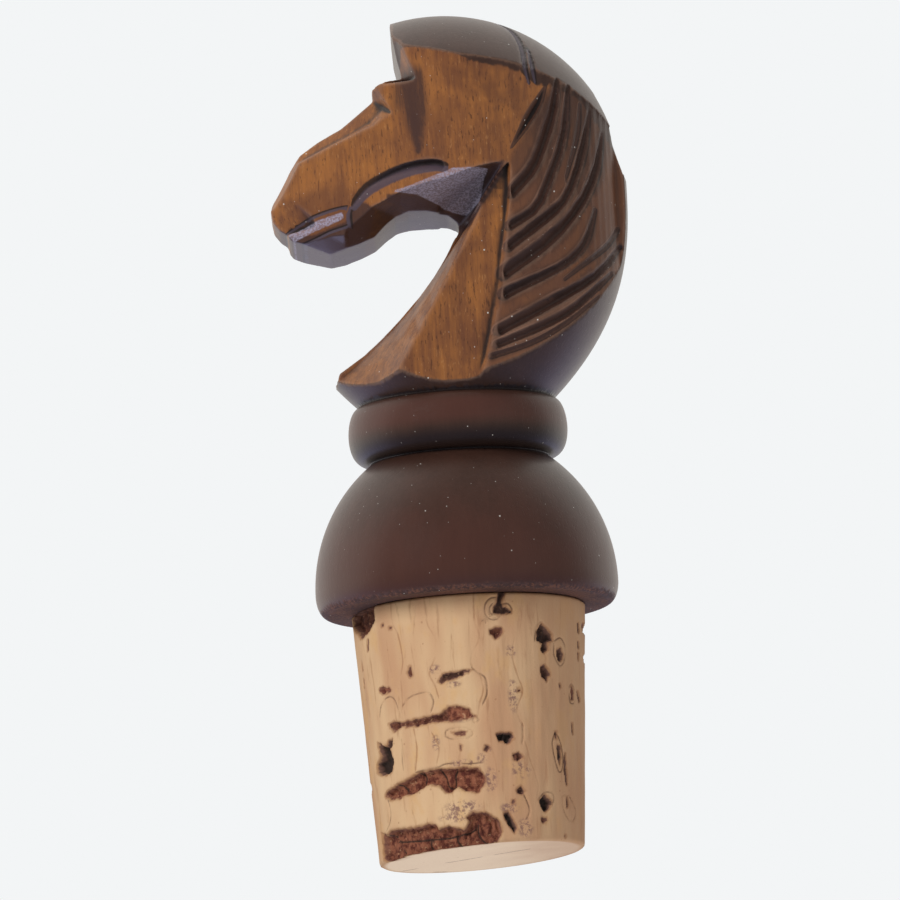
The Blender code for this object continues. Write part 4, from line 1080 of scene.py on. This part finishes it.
def build_stage():
    """The floor, the surrounding light and the lamps."""
    low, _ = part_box("cork")
    bpy.ops.mesh.primitive_plane_add(size=FLOOR_SIZE, location=(0.0, 0.0, low.z - 0.00002))
    floor = bpy.context.object
    floor.name = "floor"
    floor.data.materials.append(new_material("pale_floor", floor_material))
    floor.visible_diffuse = False
    floor.visible_glossy = False
    floor.visible_transmission = False
    floor.visible_shadow = False
    build_world()
    lamp("key", (-0.50, -0.62, 0.40), 0.40, 5.2)
    lamp("fill", (0.62, -0.50, 0.10), 0.45, 0.7)
    lamp("over", (0.05, -0.10, 0.85), 0.45, 1.6)


def lamp(name, place, size, power):
    """A square soft light that faces the stopper and doesn't show in its lacquer."""
    data = bpy.data.lights.new(name, "AREA")
    data.size = size
    data.energy = power
    item = bpy.data.objects.new(name, data)
    item.location = place
    item.visible_glossy = False
    way = Vector((0.0, 0.0, 0.045)) - Vector(place)
    item.rotation_euler = way.to_track_quat("-Z", "Y").to_euler()
    bpy.context.scene.collection.objects.link(item)


def build_world():
    """A white surround that is softer as a light; in the lacquer's reflections the room
    is darker on the camera's side and bright and bluish low behind."""
    world = bpy.data.worlds.new("studio")
    world.use_nodes = True
    bpy.context.scene.world = world
    make = Maker(world.node_tree)
    side, back, up = make.parts(make.node("ShaderNodeTexCoord"))
    behind = back + 0.28 * up + 0.5 * make.most(0.0 - side, 0.0)
    below = make.fall(up - 0.35 * back, -1.04, -0.84)
    glow = 0.20 + 0.80 * make.rise(behind, 0.0, 0.62) + 2.2 * below
    tint = make.mix(make.rise(up, -0.6, 0.0), paint(192, 194, 240), paint(250, 245, 238))
    around = 0.36 + 0.66 * make.fall(up, -0.9, 0.0)
    white = make.node("ShaderNodeBackground", {"Color": BACKDROP, "Strength": 1.0})
    room = make.node("ShaderNodeBackground", {"Color": tint, "Strength": glow})
    soft = make.node("ShaderNodeBackground", {"Color": paint(252, 250, 248), "Strength": around})
    mirrored = make.node("ShaderNodeLightPath", output=3)
    seen = make.node("ShaderNodeLightPath")
    lit = make.node("ShaderNodeMixShader", {0: mirrored, 1: soft, 2: room})
    both = make.node("ShaderNodeMixShader", {0: seen, 1: lit, 2: white})
    make.node("ShaderNodeOutputWorld", {"Surface": both})


def build_camera():
    """A long lens a little below the stopper's middle, tipped as the photo is."""
    data = bpy.data.cameras.new("camera")
    data.lens = CAMERA_LENS
    data.sensor_width = 36.0
    data.clip_start = 0.05
    data.clip_end = 20.0
    item = bpy.data.objects.new("camera", data)
    back = Vector((0.0, -math.cos(CAMERA_ELEVATION), math.sin(CAMERA_ELEVATION)))
    item.location = CAMERA_TARGET + back * CAMERA_DISTANCE
    item.rotation_mode = "QUATERNION"
    level = (-back).to_track_quat("-Z", "Y")
    item.rotation_quaternion = level @ Quaternion((0.0, 0.0, 1.0), -CAMERA_ROLL)
    bpy.context.scene.collection.objects.link(item)
    bpy.context.scene.camera = item


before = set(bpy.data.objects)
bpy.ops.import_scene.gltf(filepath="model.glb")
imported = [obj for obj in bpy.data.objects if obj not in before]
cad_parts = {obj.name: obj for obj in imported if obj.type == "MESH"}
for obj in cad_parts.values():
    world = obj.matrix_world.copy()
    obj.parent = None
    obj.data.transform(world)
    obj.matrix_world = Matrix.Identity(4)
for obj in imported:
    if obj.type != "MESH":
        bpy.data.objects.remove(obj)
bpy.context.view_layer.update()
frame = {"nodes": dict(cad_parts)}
bpy.context.scene.view_settings.view_transform = "Standard"

build_camera()
build_stage()

head = build_head(frame, new_material("stained_hardwood", hardwood))
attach(head, "root")
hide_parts("carved_head")

cork = build_cork(new_material("natural_cork", natural_cork))
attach(cork, "root")
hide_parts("cork")

frame["nodes"]["peg"].material_slots[0].material = new_material("pale_peg_wood", peg_wood)
